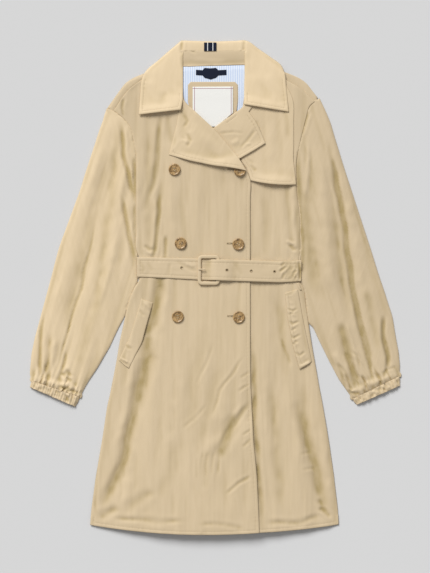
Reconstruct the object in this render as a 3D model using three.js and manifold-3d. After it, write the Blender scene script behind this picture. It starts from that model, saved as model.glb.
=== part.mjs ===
// Double-breasted trench coat with its own belt, laid flat on its back.
// Millimetres. +X is to the wearer's left, +Y to the collar, +Z up from the surface it lies on.
// The origin is on that surface, under the middle of the coat.
import * as THREE from 'three';
import Module from 'manifold-3d';

const wasm = await Module();
wasm.setup();

// Driving sizes
const CLOTH = 1.3;             // wall of one layer of coat cloth
const BELT_WALL = 1.7;         // belt, two layers sewn together
const WELT_WALL = 1.8;         // pocket welts
const LINING_WALL = 1;         // lining, neck facing and labels
const SEAM = 0.3;              // gap between pieces at a seam and between layers
const COLLAR_BED = CLOTH + SEAM;         // height of the back panel over the collar's back fall
const BELT_BED = BELT_WALL + SEAM;       // height of the back panel over the belt's back stretch
const BUTTON_RADIUS = 12.5;    // 40-line buttons
const BUTTON_THICK = 4;
const BUTTON_SIDES = 16;
const BUCKLE = { left: -36.5, right: 10.5, low: 4.5, high: 67.5, bar: 7.5, corner: 9, thick: 3.4 };
const BAR_TOP = 72;            // Y up to which the tail rests on the buckle's right bar
const PRONG = { tip: -35, heel: -21.5, y: 37.5, width: 3, thick: 1.8 };
const CUFF = { width: 100, wall: 1.5, gap: 3.4, rib: 1.3, ribs: 20, under: 5, sideDrop: 0.55, fit: 0.98 };
const SLEEVE_PUFF = 3.4;       // air between the two layers of a sleeve
const SLEEVE_OPEN = 0.12;      // share of the sleeve's length over which it opens from the shoulder
const GATHERS = { count: 8, height: 2.6, from: 0.8, to: 0.96, foldsEnd: 1.04, foldsFull: 0.84 };
const LOFT_SHAPE = 0.7;        // power of the fronts' bow: lower is flatter in the middle
const FOLD_ONSET = 2.5;        // how fast folds grow from the body's sides
const FLAP_LIFT = { height: 3.6, from: 262, full: 218 };   // storm flap's free edge, along Y
const LAPEL_RISE = { left: 1.6, right: 2.4 };              // lapels' free edges over their roll lines
const STAND_BOW = 1.6;         // middle of the collar stand over its edges
// Collar's underside: over the fronts, more at the leaves and along the middle; low at the fold,
// where it ends inside the wall of the fall behind the neck
const COLLAR = { over: 3.4, leaf: 2.4, middle: 1.6, fold: 0.4, foldFrom: 0.88, leafRows: [2, 5] };

const COLOURS = {
  cloth: 0xd8c59c,
  seamed: 0xd2be93,
  lining: 0xc9d6ea,
  label: 0xf2f0ea,
  navy: 0x20263c,
  horn: 0x6f5138,
};

// Height of the fronts over the back panel along the coat's middle line
const LOFT = [
  { y: -520, lift: 17 },
  { y: -400, lift: 13.5 },
  { y: -250, lift: 9.5 },
  { y: -100, lift: 6.6 },
  { y: 0, lift: 4.2 },
  { y: 40, lift: 3 },
  { y: 100, lift: 3.6 },
  { y: 250, lift: 3.6 },
  { y: 350, lift: 2.6 },
  { y: 480, lift: 1.6 },
];

// Largest folds of the fronts: a soft trough (depth below 0) or ridge from one point to another
const BODY_FOLDS = [
  { x1: -116, y1: 361, x2: -126, y2: 204, width: 11, depth: -3 },
  { x1: -126, y1: 204, x2: -129, y2: 68, width: 11, depth: -3.4 },
  { x1: -103, y1: 131, x2: -106, y2: 63, width: 9, depth: -3 },
  { x1: -145, y1: 250, x2: -147, y2: 90, width: 12, depth: 2.4 },
  { x1: -103, y1: 12, x2: -116, y2: -27, width: 13, depth: -4.2 },
  { x1: -116, y1: -27, x2: -151, y2: -121, width: 13, depth: -4.6 },
  { x1: -145, y1: -178, x2: -160, y2: -237, width: 14, depth: -5 },
  { x1: -160, y1: -237, x2: -198, y2: -390, width: 14, depth: -6 },
  { x1: -198, y1: -390, x2: -230, y2: -459, width: 12, depth: -4 },
  { x1: -122, y1: -190, x2: -150, y2: -420, width: 20, depth: 2.4 },
  { x1: 67, y1: -252, x2: 35, y2: -304, width: 13, depth: -4 },
  { x1: 35, y1: -304, x2: 6, y2: -344, width: 13, depth: -4.4 },
  { x1: 74, y1: -394, x2: 32, y2: -432, width: 12, depth: -3 },
  { x1: 135, y1: -20, x2: 150, y2: -190, width: 15, depth: -3 },
  { x1: 179, y1: -237, x2: 236, y2: -479, width: 15, depth: -4.5 },
  { x1: 150, y1: -215, x2: 192, y2: -470, width: 18, depth: 2.2 },
  { x1: 104, y1: 200, x2: 108, y2: 80, width: 14, depth: -2.2 },
];

const SLEEVE_RIGHT_FOLDS = [
  { x1: -252, y1: 262, x2: -330, y2: -20, width: 16, depth: 3.6 },
  { x1: -222, y1: 250, x2: -285, y2: 30, width: 15, depth: -2.8 },
  { x1: -196, y1: 236, x2: -232, y2: 0, width: 15, depth: 3.2 },
  { x1: -330, y1: -20, x2: -350, y2: -150, width: 14, depth: 3 },
  { x1: -285, y1: 30, x2: -312, y2: -160, width: 14, depth: -2.6 },
  { x1: -232, y1: 0, x2: -276, y2: -150, width: 14, depth: 2.6 },
];
const SLEEVE_LEFT_FOLDS = [
  { x1: 254, y1: 204, x2: 283, y2: 46, width: 13, depth: -3.2 },
  { x1: 283, y1: 46, x2: 315, y2: -123, width: 13, depth: -3.2 },
  { x1: 315, y1: -123, x2: 332, y2: -206, width: 12, depth: -3 },
  { x1: 222, y1: 260, x2: 240, y2: 20, width: 16, depth: 3.2 },
  { x1: 282, y1: 190, x2: 330, y2: -20, width: 15, depth: 3.6 },
  { x1: 330, y1: -20, x2: 346, y2: -150, width: 13, depth: 3 },
  { x1: 240, y1: 20, x2: 290, y2: -150, width: 15, depth: 2.6 },
];

// Sections of the panels. Each row is one section: its left end (lx, ly), its right end (rx, ry),
// the rows of cells between it and the section before it, and the bow of its middle along Y.
const BACK = [
  { lx: -260, ly: -495, rx: 258, ry: -495, bow: -19 },
  { lx: -249, ly: -394, rx: 249, ry: -394, bow: -8, rows: 2 },
  { lx: -226, ly: -252, rx: 227, ry: -252, rows: 2 },
  { lx: -199, ly: -113, rx: 202, ry: -113, rows: 2 },
  { lx: -168, ly: 2, rx: 184, ry: 2, rows: 2 },
  { lx: -159, ly: 10, rx: 177, ry: 10, rows: 1 },
  { lx: -159, ly: 65, rx: 177, ry: 65, rows: 2 },
  { lx: -165, ly: 76, rx: 180, ry: 76, rows: 1 },
  { lx: -165.5, ly: 204, rx: 171.5, ry: 204, rows: 2 },
  { lx: -165.5, ly: 250, rx: 170.5, ry: 256, rows: 1 },
  { lx: -167.5, ly: 292, rx: 177, ry: 301, rows: 1 },
  { lx: -175.5, ly: 330, rx: 187, ry: 340, rows: 1 },
  { lx: -190.5, ly: 353, rx: 190, ry: 352, rows: 1 },
  { lx: -224.5, ly: 376, rx: 201, ry: 383, rows: 1 },
  { lx: -211, ly: 399, rx: 216.5, ry: 398, rows: 1 },
  { lx: -200, ly: 414, rx: 204, ry: 414, rows: 1 },
  { lx: -189, ly: 428, rx: 193, ry: 428, rows: 1 },
  { lx: -148, ly: 450, rx: 148, ry: 452, rows: 1 },
  { lx: -72, ly: 460, rx: 66, ry: 464, rows: 1 },
];

const FRONT_RIGHT = [
  { lx: -262.5, ly: -500, rx: 93, ry: -515, bow: -10.2 },
  { lx: -260, ly: -468, rx: 91, ry: -468, bow: -5, rows: 1 },
  { lx: -250, ly: -394, rx: 87.5, ry: -394, rows: 2 },
  { lx: -238, ly: -325, rx: 81, ry: -325, rows: 3 },
  { lx: -227, ly: -252, rx: 77, ry: -252, rows: 3 },
  { lx: -214, ly: -195, rx: 74.5, ry: -195, rows: 2 },
  { lx: -200, ly: -113, rx: 74, ry: -113, rows: 2 },
  { lx: -183, ly: -34, rx: 74, ry: -34, rows: 2 },
  { lx: -169, ly: 0, rx: 74, ry: 0, rows: 1 },
  { lx: -160, ly: 14, rx: 74, ry: 14, rows: 1 },
  { lx: -160, ly: 62, rx: 74, ry: 62, rows: 1 },
  { lx: -166, ly: 80, rx: 74, ry: 80, rows: 1 },
  { lx: -166, ly: 225, rx: 74, ry: 225, rows: 4 },
  { lx: -166, ly: 250, rx: 64, ry: 248, rows: 1 },
  { lx: -168, ly: 292, rx: 32, ry: 292, rows: 1 },
  { lx: -176, ly: 330, rx: 0, ry: 330, rows: 2 },
  { lx: -191, ly: 353, rx: -24.5, ry: 353, rows: 1 },
  { lx: -213, ly: 371, rx: -43.5, ry: 371, rows: 1 },
  { lx: -202, ly: 388, rx: -62, ry: 388, rows: 1 },
  { lx: -191, ly: 404, rx: -67, ry: 404, rows: 1 },
  { lx: -155, ly: 435, rx: -67, ry: 435, rows: 1 },
  { lx: -116, ly: 453, rx: -67, ry: 455, rows: 1 },
  { lx: -84, ly: 461, rx: -67, ry: 461.5, rows: 1 },
];
const FRONT_RIGHT_COLUMNS = [
  0, 0.05, 0.09, 0.13, 0.17, 0.21, 0.25, 0.29, 0.33, 0.4, 0.48, 0.57, 0.66, 0.74, 0.82, 0.88, 0.94, 1,
];

const FRONT_LEFT = [
  { lx: -104, ly: -512, rx: 260, ry: -499, bow: -10 },
  { lx: -102, ly: -468, rx: 258.5, ry: -468, bow: -5, rows: 1 },
  { lx: -100, ly: -394, rx: 250, ry: -394, rows: 2 },
  { lx: -98, ly: -325, rx: 240, ry: -325, rows: 2 },
  { lx: -98, ly: -252, rx: 227.5, ry: -252, rows: 2 },
  { lx: -98, ly: -195, rx: 217, ry: -195, rows: 1 },
  { lx: -98, ly: -113, rx: 202.5, ry: -113, rows: 2 },
  { lx: -98, ly: -34, rx: 190.5, ry: -34, rows: 2 },
  { lx: -98, ly: 0, rx: 186, ry: 0, rows: 1 },
  { lx: -98, ly: 14, rx: 177.5, ry: 14, rows: 1 },
  { lx: -98, ly: 62, rx: 177.5, ry: 62, rows: 1 },
  { lx: -98, ly: 80, rx: 180, ry: 80, rows: 1 },
  { lx: -98, ly: 147, rx: 179, ry: 147, rows: 2 },
  { lx: -98, ly: 204, rx: 172, ry: 204, rows: 2 },
  { lx: -98, ly: 258, rx: 171, ry: 258, rows: 2 },
  { lx: -56, ly: 297, rx: 178, ry: 301, rows: 1 },
  { lx: -8, ly: 331, rx: 186, ry: 334, rows: 1 },
  { lx: 24, ly: 354, rx: 191, ry: 354, rows: 1 },
  { lx: 55, ly: 376, rx: 202, ry: 384, rows: 1 },
  { lx: 65, ly: 386, rx: 210.5, ry: 390, rows: 1 },
  { lx: 65, ly: 418, rx: 178, ry: 419, rows: 1 },
  { lx: 65, ly: 436, rx: 151, ry: 435, rows: 1 },
  { lx: 65, ly: 456, rx: 111, ry: 457, rows: 1 },
  { lx: 65, ly: 465.5, rx: 82, ry: 465, rows: 1 },
];
const FRONT_LEFT_COLUMNS = [0, 0.22, 0.44, 0.53, 0.59, 0.65, 0.71, 0.77, 0.83, 0.89, 0.95, 1];

// The back panel's shoulder edge, wrapped over to the forward shoulder seam: seam end, then fold end.
// The fold ends are corners of BACK, so that both layers meet there.
const SHOULDER_RIGHT = [
  { lx: -214.2, ly: 371.8, rx: -224.5, ry: 376 },
  { lx: -202.8, ly: 388.8, rx: -211, ry: 399, rows: 1 },
  { lx: -191.6, ly: 404.8, rx: -200, ry: 414, rows: 1 },
  { lx: -178, ly: 416.4, rx: -189, ry: 428, rows: 1 },
  { lx: -155.3, ly: 436, rx: -148, ry: 450, rows: 1 },
];
const SHOULDER_LEFT = [
  { lx: 211, ly: 391, rx: 216.5, ry: 398 },
  { lx: 194.5, ly: 406, rx: 204, ry: 414, rows: 1 },
  { lx: 178.5, ly: 420, rx: 193, ry: 428, rows: 1 },
  { lx: 151.5, ly: 436, rx: 148, ry: 452, rows: 1 },
];

// Sleeves, from the shoulder to the cuff: body side (lx, ly), outer side (rx, ry)
const SLEEVE_RIGHT = [
  { lx: -225.6, ly: 374, rx: -227.6, ry: 372 },
  { lx: -209, ly: 364, rx: -236, ry: 350, rows: 1 },
  { lx: -191.8, ly: 352.3, rx: -245, ry: 325, rows: 1 },
  { lx: -177, ly: 330, rx: -254, ry: 297, rows: 1 },
  { lx: -168.9, ly: 292, rx: -264, ry: 267, rows: 1 },
  { lx: -167, ly: 250, rx: -275, ry: 233, rows: 1 },
  { lx: -167, ly: 215, rx: -284, ry: 204, rows: 1 },
  { lx: -167, ly: 82, rx: -326, ry: 89, rows: 3 },
  { lx: -166, ly: 14, rx: -345, ry: 19, rows: 1 },
  { lx: -184.6, ly: -34, rx: -362, ry: -44, rows: 2 },
  { lx: -201.6, ly: -82, rx: -379, ry: -107, rows: 2 },
  { lx: -222, ly: -126, rx: -386, ry: -141, rows: 2 },
  { lx: -249, ly: -172, rx: -388.7, ry: -172, rows: 2 },
  { lx: -265, ly: -196, rx: -388.7, ry: -186, rows: 1 },
  { lx: -284, ly: -230, rx: -384.5, ry: -196, rows: 1 },
];
const SLEEVE_LEFT = [
  { lx: 217.8, ly: 395.5, rx: 219.5, ry: 398 },
  { lx: 203, ly: 383.2, rx: 231, ry: 374, rows: 1 },
  { lx: 192.2, ly: 350, rx: 243, ry: 345, rows: 1 },
  { lx: 187, ly: 325, rx: 251, ry: 318, rows: 1 },
  { lx: 179, ly: 301, rx: 259, ry: 292, rows: 1 },
  { lx: 173, ly: 256, rx: 272, ry: 250, rows: 1 },
  { lx: 173.5, ly: 204, rx: 287, ry: 204, rows: 1 },
  { lx: 181.4, ly: 147, rx: 306, ry: 146, rows: 1 },
  { lx: 182.6, ly: 82, rx: 326, ry: 85, rows: 2 },
  { lx: 182.6, ly: 12, rx: 347, ry: 18, rows: 1 },
  { lx: 189.4, ly: -8, rx: 356, ry: -8, rows: 1 },
  { lx: 197, ly: -64, rx: 373, ry: -62, rows: 2 },
  { lx: 218, ly: -110, rx: 381, ry: -109, rows: 2 },
  { lx: 239, ly: -153, rx: 386, ry: -136, rows: 2 },
  { lx: 259, ly: -191, rx: 388.7, ry: -163, rows: 2 },
  { lx: 267, ly: -203, rx: 388.7, ry: -175, rows: 1 },
  { lx: 289, ly: -234, rx: 388, ry: -186, rows: 1 },
];
const SLEEVE_COLUMNS = 16;

// Cuffs, from the sleeve seam to the open end
const CUFF_RIGHT = [
  { lx: -384.7, ly: -196.8, rx: -284.3, ry: -230.8 },
  { lx: -387.5, ly: -203, rx: -288, ry: -241, rows: 1 },
  { lx: -389, ly: -210, rx: -294, ry: -251, rows: 1 },
];
const CUFF_LEFT = [
  { lx: 289.3, ly: -234.8, rx: 388.2, ry: -186.8 },
  { lx: 293, ly: -242, rx: 389, ry: -197, rows: 1 },
  { lx: 299, ly: -247, rx: 389, ry: -207, rows: 1 },
];

// Collar: the fall folded forward over the fronts and round the neck, inner edge, then outer edge
const COLLAR_TOP = [
  { lx: -71, ly: 372, rx: -160, ry: 362 },
  { lx: -67.5, ly: 393, rx: -157.5, ry: 398, rows: 2 },
  { lx: -67, ly: 420, rx: -155, ry: 431, rows: 2 },
  { lx: -67, ly: 445, rx: -147, ry: 452, rows: 1 },
  { lx: -67, ly: 470, rx: -120, ry: 477, rows: 1 },
  { lx: -67, ly: 485, rx: -97, ry: 497, rows: 1 },
  { lx: -66, ly: 496, rx: -71, ry: 519, rows: 1 },
  { lx: -2, ly: 494.5, rx: -2, ry: 517, rows: 3 },
  { lx: 62, ly: 496, rx: 65, ry: 519, rows: 3 },
  { lx: 62, ly: 484, rx: 94, ry: 500, rows: 1 },
  { lx: 62, ly: 466, rx: 120, ry: 482, rows: 1 },
  { lx: 62, ly: 445, rx: 139, ry: 467, rows: 1 },
  { lx: 61.5, ly: 430, rx: 147, ry: 448, rows: 1 },
  { lx: 61.2, ly: 404, rx: 151.5, ry: 405, rows: 2 },
  { lx: 61, ly: 383, rx: 155, ry: 368, rows: 2 },
];
const COLLAR_COLUMNS = [0, 0.22, 0.45, 0.68, 0.88, 1];
const COLLAR_FOLD_FROM = 4;    // first and last sections whose outer edge is the fold to the back
const COLLAR_FOLD_TO = 11;
// The same fall behind the neck, flat on the surface: lower edge, then the fold
const COLLAR_BACK = [
  { lx: -142, ly: 440, rx: -142, ry: 456.5 },
  { lx: -120, ly: 434, rx: -120, ry: 477, rows: 1 },
  { lx: -97, ly: 431, rx: -97, ry: 497, rows: 1 },
  { lx: -71, ly: 429, rx: -71, ry: 519, rows: 1 },
  { lx: -2, ly: 428, rx: -2, ry: 517, rows: 3 },
  { lx: 65, ly: 429, rx: 65, ry: 519, rows: 3 },
  { lx: 94, ly: 431, rx: 94, ry: 500, rows: 1 },
  { lx: 120, ly: 434, rx: 120, ry: 482, rows: 1 },
  { lx: 138, ly: 440, rx: 138, ry: 467.5, rows: 1 },
];
const COLLAR_STAND = [
  { lx: -78, ly: 463.5, rx: -78, ry: 482 },
  { lx: -66, ly: 463.5, rx: -66, ry: 495, rows: 1 },
  { lx: -2, ly: 465.5, rx: -2, ry: 493.8, rows: 3 },
  { lx: 62, ly: 467.5, rx: 62, ry: 495, rows: 3 },
  { lx: 73, ly: 467.5, rx: 73, ry: 482, rows: 1 },
];

// Lapels: roll line, then free edge
const LAPEL_RIGHT = [
  { lx: 66, ly: 244, rx: 62, ry: 245 },
  { lx: 58, ly: 257, rx: 30, ry: 251, rows: 1 },
  { lx: 48, ly: 273, rx: -3, ry: 255, rows: 1 },
  { lx: 28, ly: 297, rx: -51, ry: 265, rows: 2 },
  { lx: 6, ly: 323, rx: -97, ry: 278, rows: 2 },
  { lx: -16, ly: 345, rx: -88, ry: 312, rows: 1 },
  { lx: -40, ly: 367.5, rx: -80, ry: 345, rows: 1 },
  { lx: -58, ly: 384.5, rx: -76, ry: 372, rows: 1 },
  { lx: -67, ly: 395, rx: -90, ry: 392, rows: 1 },
];
const LAPEL_LEFT = [
  { lx: -30, ly: 315, rx: 20, ry: 252 },
  { lx: -22, ly: 321, rx: 50, ry: 268.5, rows: 1 },
  { lx: -12, ly: 328, rx: 80, ry: 286, rows: 1 },
  { lx: 2, ly: 338, rx: 106, ry: 302, rows: 1 },
  { lx: 22, ly: 352, rx: 97, ry: 324, rows: 1 },
  { lx: 40, ly: 365, rx: 88, ry: 343, rows: 1 },
  { lx: 56, ly: 376.5, rx: 71, ry: 368, rows: 1 },
  { lx: 64, ly: 385, rx: 80, ry: 381, rows: 1 },
];
const STORM_FLAP = [
  { lx: 75, ly: 224, rx: 170.5, ry: 215.5, bow: -4 },
  { lx: 67, ly: 248, rx: 168, ry: 240, rows: 1 },
  { lx: 55, ly: 266, rx: 165.5, ry: 262, rows: 1 },
  { lx: 52, ly: 300, rx: 165.5, ry: 300, rows: 1 },
  { lx: 55, ly: 350, rx: 165.5, ry: 350, rows: 2 },
  { lx: 60, ly: 392, rx: 164, ry: 392, rows: 1 },
  { lx: 68, ly: 440, rx: 142, ry: 438, rows: 1 },
];

// What shows inside the neck
const LINING = [
  { lx: -22, ly: 326, rx: 6, ry: 326 },
  { lx: -55, ly: 366, rx: 56, ry: 370, rows: 2 },
  { lx: -76, ly: 396, rx: 72, ry: 396, rows: 1 },
  { lx: -76, ly: 456, rx: 72, ry: 460, rows: 2 },
];
const NECK_FACING = [
  { lx: -18, ly: 329, rx: 6, ry: 329 },
  { lx: -50, ly: 366, rx: 45, ry: 366, rows: 1 },
  { lx: -57, ly: 390, rx: 48, ry: 390, rows: 1 },
  { lx: -57, ly: 425, rx: 48, ry: 425, rows: 1 },
  { lx: -51, ly: 431.5, rx: 42, ry: 431.5, rows: 1 },
];
const NECK_LABEL = [
  { lx: -12, ly: 337, rx: 3, ry: 337 },
  { lx: -47, ly: 366, rx: 38, ry: 366, rows: 1 },
  { lx: -47, ly: 421, rx: 38, ry: 421.5, rows: 2 },
];
const HANGER_LABEL = [
  { lx: -40, ly: 446, rx: -40, ry: 457 },
  { lx: -26, ly: 445, rx: -26, ry: 456, rows: 1 },
  { lx: -22, ly: 440, rx: -22, ry: 461, rows: 1 },
  { lx: -9, ly: 436.5, rx: -9, ry: 460, rows: 1 },
  { lx: 2, ly: 440, rx: 2, ry: 461, rows: 1 },
  { lx: 7, ly: 445, rx: 7, ry: 456, rows: 1 },
  { lx: 24, ly: 446, rx: 24, ry: 457, rows: 1 },
];
const COLLAR_TAPE = [
  { lx: -23, ly: 496, rx: -23, ry: 514 },
  { lx: 3, ly: 496, rx: 3, ry: 514, rows: 2 },
];

// Belt: lower edge, then upper edge
const BELT_BACK = [
  { lx: -163.5, ly: 19, rx: -163.5, ry: 62 },
  { lx: 180, ly: 13, rx: 180, ry: 57, rows: 1 },
];
const BELT_UNDER = [
  { lx: 0, ly: 17, rx: 0, ry: 57 },
  { lx: 74, ly: 14.5, rx: 74, ry: 55, rows: 3 },
  { lx: 136, ly: 12.5, rx: 136, ry: 53, rows: 3 },
  { lx: 172, ly: 14, rx: 172, ry: 54.5, rows: 2 },
];
const BELT_FRONT = [
  { lx: -164, ly: 22, rx: -164, ry: 63 },
  { lx: -157, ly: 21.5, rx: -157, ry: 63, rows: 1 },
  { lx: -100, ly: 19, rx: -100, ry: 62, rows: 3 },
  { lx: -45, ly: 16, rx: -45, ry: 60.5, rows: 3 },
  { lx: -37.5, ly: 15.5, rx: -37.5, ry: 60, rows: 1 },
  { lx: -27.5, ly: 15, rx: -27.5, ry: 59.3, rows: 1 },
  { lx: -1, ly: 14.5, rx: -1, ry: 58.5, rows: 3 },
  { lx: 12, ly: 14, rx: 12, ry: 58.2, rows: 1 },
  { lx: 24, ly: 13.5, rx: 24, ry: 58, rows: 1 },
  { lx: 74, ly: 12, rx: 74, ry: 56.5, rows: 3 },
  { lx: 136, ly: 10, rx: 136, ry: 54.5, rows: 3 },
  { lx: 172, ly: 12, rx: 172, ry: 56, rows: 2 },
  { lx: 181, ly: 13, rx: 181, ry: 57, rows: 1 },
];
const BELT_LOOP = [
  { lx: 178, ly: -6, rx: 182.5, ry: -6 },
  { lx: 171.5, ly: 9, rx: 175.5, ry: 9, rows: 2 },
];

// Pocket welts: lower end first
const WELT_RIGHT = [
  { lx: -202.5, ly: -154, rx: -181, ry: -171 },
  { lx: -180, ly: -106, rx: -154, ry: -117, rows: 3 },
  { lx: -166, ly: -62, rx: -141, ry: -70, rows: 2 },
  { lx: -155, ly: -24, rx: -130, ry: -33, rows: 2 },
];
const WELT_LEFT = [
  { lx: 178, ly: -173, rx: 204, ry: -157 },
  { lx: 164, ly: -125, rx: 196, ry: -120, rows: 2 },
  { lx: 153, ly: -66, rx: 186, ry: -71, rows: 3 },
  { lx: 147, ly: -12, rx: 174, ry: -4, rows: 2 },
];

const BUTTONS = [
  { name: 'button_right_top', x: -85, y: 247 },
  { name: 'button_left_top', x: 52, y: 245 },
  { name: 'button_right_middle', x: -72, y: 92 },
  { name: 'button_left_middle', x: 49, y: 90 },
  { name: 'button_right_low', x: -78, y: -62 },
  { name: 'button_left_low', x: 50, y: -63 },
];

const coat = new THREE.Group();
coat.name = 'trench_coat';

const clamp = (value, low, high) => Math.min(high, Math.max(low, value));
const mix = (a, b, t) => a + (b - a) * t;
const even = (count) => Array.from({ length: count + 1 }, (_, index) => index / count);

// Value of one column of a table, read between its rows
function readTable(rows, key, column, at) {
  const last = rows.length - 1;
  let index = 0;
  while (index < last - 1 && at > rows[index + 1][key]) index += 1;
  const [from, to] = [rows[index], rows[index + 1]];
  const share = clamp((at - from[key]) / (to[key] - from[key]), 0, 1);
  return mix(from[column], to[column], share);
}

// A raised-cosine step from 0 to 1
function ease(from, to, at) {
  const share = clamp((at - from) / (to - from), 0, 1);
  return (1 - Math.cos(Math.PI * share)) / 2;
}

// Height that a table of folds adds at one place
function foldHeight(folds, x, y) {
  let height = 0;
  for (const fold of folds) {
    const [dx, dy] = [fold.x2 - fold.x1, fold.y2 - fold.y1];
    const share = clamp(((x - fold.x1) * dx + (y - fold.y1) * dy) / (dx * dx + dy * dy), 0, 1);
    const away = Math.hypot(x - fold.x1 - share * dx, y - fold.y1 - share * dy) / fold.width;
    height += fold.depth * Math.exp(-away * away);
  }
  return height;
}

// Top surface of a laid piece, kept as a map of heights, so that the next piece can rest on it
const MAP = { pitch: 3, left: -420, low: -552, columns: 280, rows: 368 };
const NEAR = MAP.pitch * 0.75;

function forCells(corners, visit) {
  const [a, b, c] = corners;
  const area = (b[0] - a[0]) * (c[1] - a[1]) - (c[0] - a[0]) * (b[1] - a[1]);
  if (Math.abs(area) < 1e-6) return;
  const reach = [[b, c], [c, a], [a, b]].map(([p, q]) => (
    NEAR * Math.hypot(q[0] - p[0], q[1] - p[1]) / Math.abs(area)));
  const xs = corners.map((corner) => corner[0]);
  const ys = corners.map((corner) => corner[1]);
  const column = (x) => (x - MAP.left) / MAP.pitch;
  const row = (y) => (y - MAP.low) / MAP.pitch;
  for (let j = Math.floor(row(Math.min(...ys))); j <= Math.ceil(row(Math.max(...ys))); j += 1) {
    for (let i = Math.floor(column(Math.min(...xs))); i <= Math.ceil(column(Math.max(...xs))); i += 1) {
      const [x, y] = [MAP.left + i * MAP.pitch, MAP.low + j * MAP.pitch];
      const weightB = ((x - a[0]) * (c[1] - a[1]) - (c[0] - a[0]) * (y - a[1])) / area;
      const weightC = ((b[0] - a[0]) * (y - a[1]) - (x - a[0]) * (b[1] - a[1])) / area;
      const weights = [1 - weightB - weightC, weightB, weightC];
      if (weights.some((weight, k) => weight < -reach[k])) continue;
      const inside = weights.map((weight) => clamp(weight, 0, 1));
      const sum = inside[0] + inside[1] + inside[2];
      visit(j * MAP.columns + i, inside.map((weight) => weight / sum));
    }
  }
}

function surfaceOf(points, faces) {
  const heights = new Float32Array(MAP.columns * MAP.rows).fill(-1);
  for (const face of faces) {
    const corners = face.map((index) => points[index]);
    forCells(corners, (cell, weights) => {
      const height = weights.reduce((total, weight, k) => total + weight * corners[k][2], 0);
      heights[cell] = Math.max(heights[cell], height);
    });
  }
  return heights;
}

// Raises a piece's underside until every face clears what it lies on
function settle(points, faces, on) {
  const rests = [];
  const highest = points.map((point) => point[2]);
  for (const face of faces) {
    forCells(face.map((index) => points[index]), (cell, weights) => {
      const floor = Math.max(...on.map((piece) => piece.surface[cell]));
      if (floor < 0) return;
      rests.push({ face, weights, floor: floor + SEAM });
      for (const index of face) highest[index] = Math.max(highest[index], floor + SEAM);
    });
  }
  for (let round = 0; round < 80; round += 1) {
    let worst = 0;
    for (const { face, weights, floor } of rests) {
      const height = face.reduce((total, index, k) => total + weights[k] * points[index][2], 0);
      const short = floor - height;
      if (short <= 0.01) continue;
      worst = Math.max(worst, short);
      const norm = weights.reduce((total, weight) => total + weight * weight, 0);
      face.forEach((index, k) => {
        const raised = points[index][2] + weights[k] * short / norm;
        points[index][2] = Math.min(raised, highest[index]);
      });
    }
    if (worst < 0.03) break;
  }
}

function meshFrom(name, colour, vertices, triangles, roughness = 0.75) {
  const geometry = new THREE.BufferGeometry();
  geometry.setAttribute('position', new THREE.Float32BufferAttribute(vertices.flat(), 3));
  geometry.setIndex(triangles.flat());
  geometry.computeVertexNormals();
  const material = new THREE.MeshStandardMaterial({ color: colour, roughness, metalness: 0 });
  const mesh = new THREE.Mesh(geometry, material);
  mesh.name = name;
  return mesh;
}

// Sections read between the rows of their table, with the rows of cells that it asks for
function sectionsOf(table) {
  const sections = [];
  table.forEach((row, index) => {
    const before = table[Math.max(0, index - 1)];
    const count = index === 0 ? 1 : row.rows;
    for (let step = 1; step <= count; step += 1) {
      const share = step / count;
      sections.push({
        lx: mix(before.lx, row.lx, share),
        ly: mix(before.ly, row.ly, share),
        rx: mix(before.rx, row.rx, share),
        ry: mix(before.ry, row.ry, share),
        bow: mix(before.bow ?? 0, row.bow ?? 0, share),
        place: index === 0 ? 0 : index - 1 + share,
      });
    }
  });
  return sections;
}

// One layer of cloth: a grid over its sections, laid on other pieces, with an even wall
function layer({ name, table, columns, form, on = [], wall = CLOTH, colour = COLOURS.cloth }) {
  const sections = sectionsOf(table);
  const points = [];
  for (const [row, section] of sections.entries()) {
    for (const u of columns) {
      const x = mix(section.lx, section.rx, u);
      const y = mix(section.ly, section.ry, u) + section.bow * 4 * u * (1 - u);
      points.push([x, y, form(x, y, u, row / (sections.length - 1), section.place)]);
    }
  }
  const width = columns.length;
  const faces = [];
  for (let row = 0; row < sections.length - 1; row += 1) {
    for (let column = 0; column < width - 1; column += 1) {
      const corner = row * width + column;
      faces.push([corner, corner + 1, corner + width + 1], [corner, corner + width + 1, corner + width]);
    }
  }
  const turn = faces.reduce((total, face) => {
    const [a, b, c] = face.map((index) => points[index]);
    return total + (b[0] - a[0]) * (c[1] - a[1]) - (c[0] - a[0]) * (b[1] - a[1]);
  }, 0);
  const upFaces = turn > 0 ? faces : faces.map(([a, b, c]) => [a, c, b]);
  if (on.length > 0) settle(points, upFaces, on);

  const top = points.map(([x, y, z]) => [x, y, z + wall]);
  const count = points.length;
  const sides = upFaces.map(([a, b, c]) => [a, c, b]);
  sides.push(...upFaces.map((face) => face.map((index) => index + count)));
  const used = new Set(upFaces.flatMap(([a, b, c]) => [`${a},${b}`, `${b},${c}`, `${c},${a}`]));
  const edges = upFaces
    .flatMap(([a, b, c]) => [[a, b], [b, c], [c, a]])
    .filter(([from, to]) => !used.has(`${to},${from}`));
  const vertices = [...points, ...top];
  const walls = edges.flatMap((edge) => wallOf(edge, count));
  const mesh = meshFrom(name, colour, vertices, [...sides, ...walls]);
  return { mesh, surface: surfaceOf(top, upFaces), vertices, sides, edges, count };
}

// Wall of one edge of a layer, whose upper vertices follow its count of lower ones
function wallOf([from, to], count) {
  return [[from, to, to + count], [from, to + count, from + count]];
}

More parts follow.
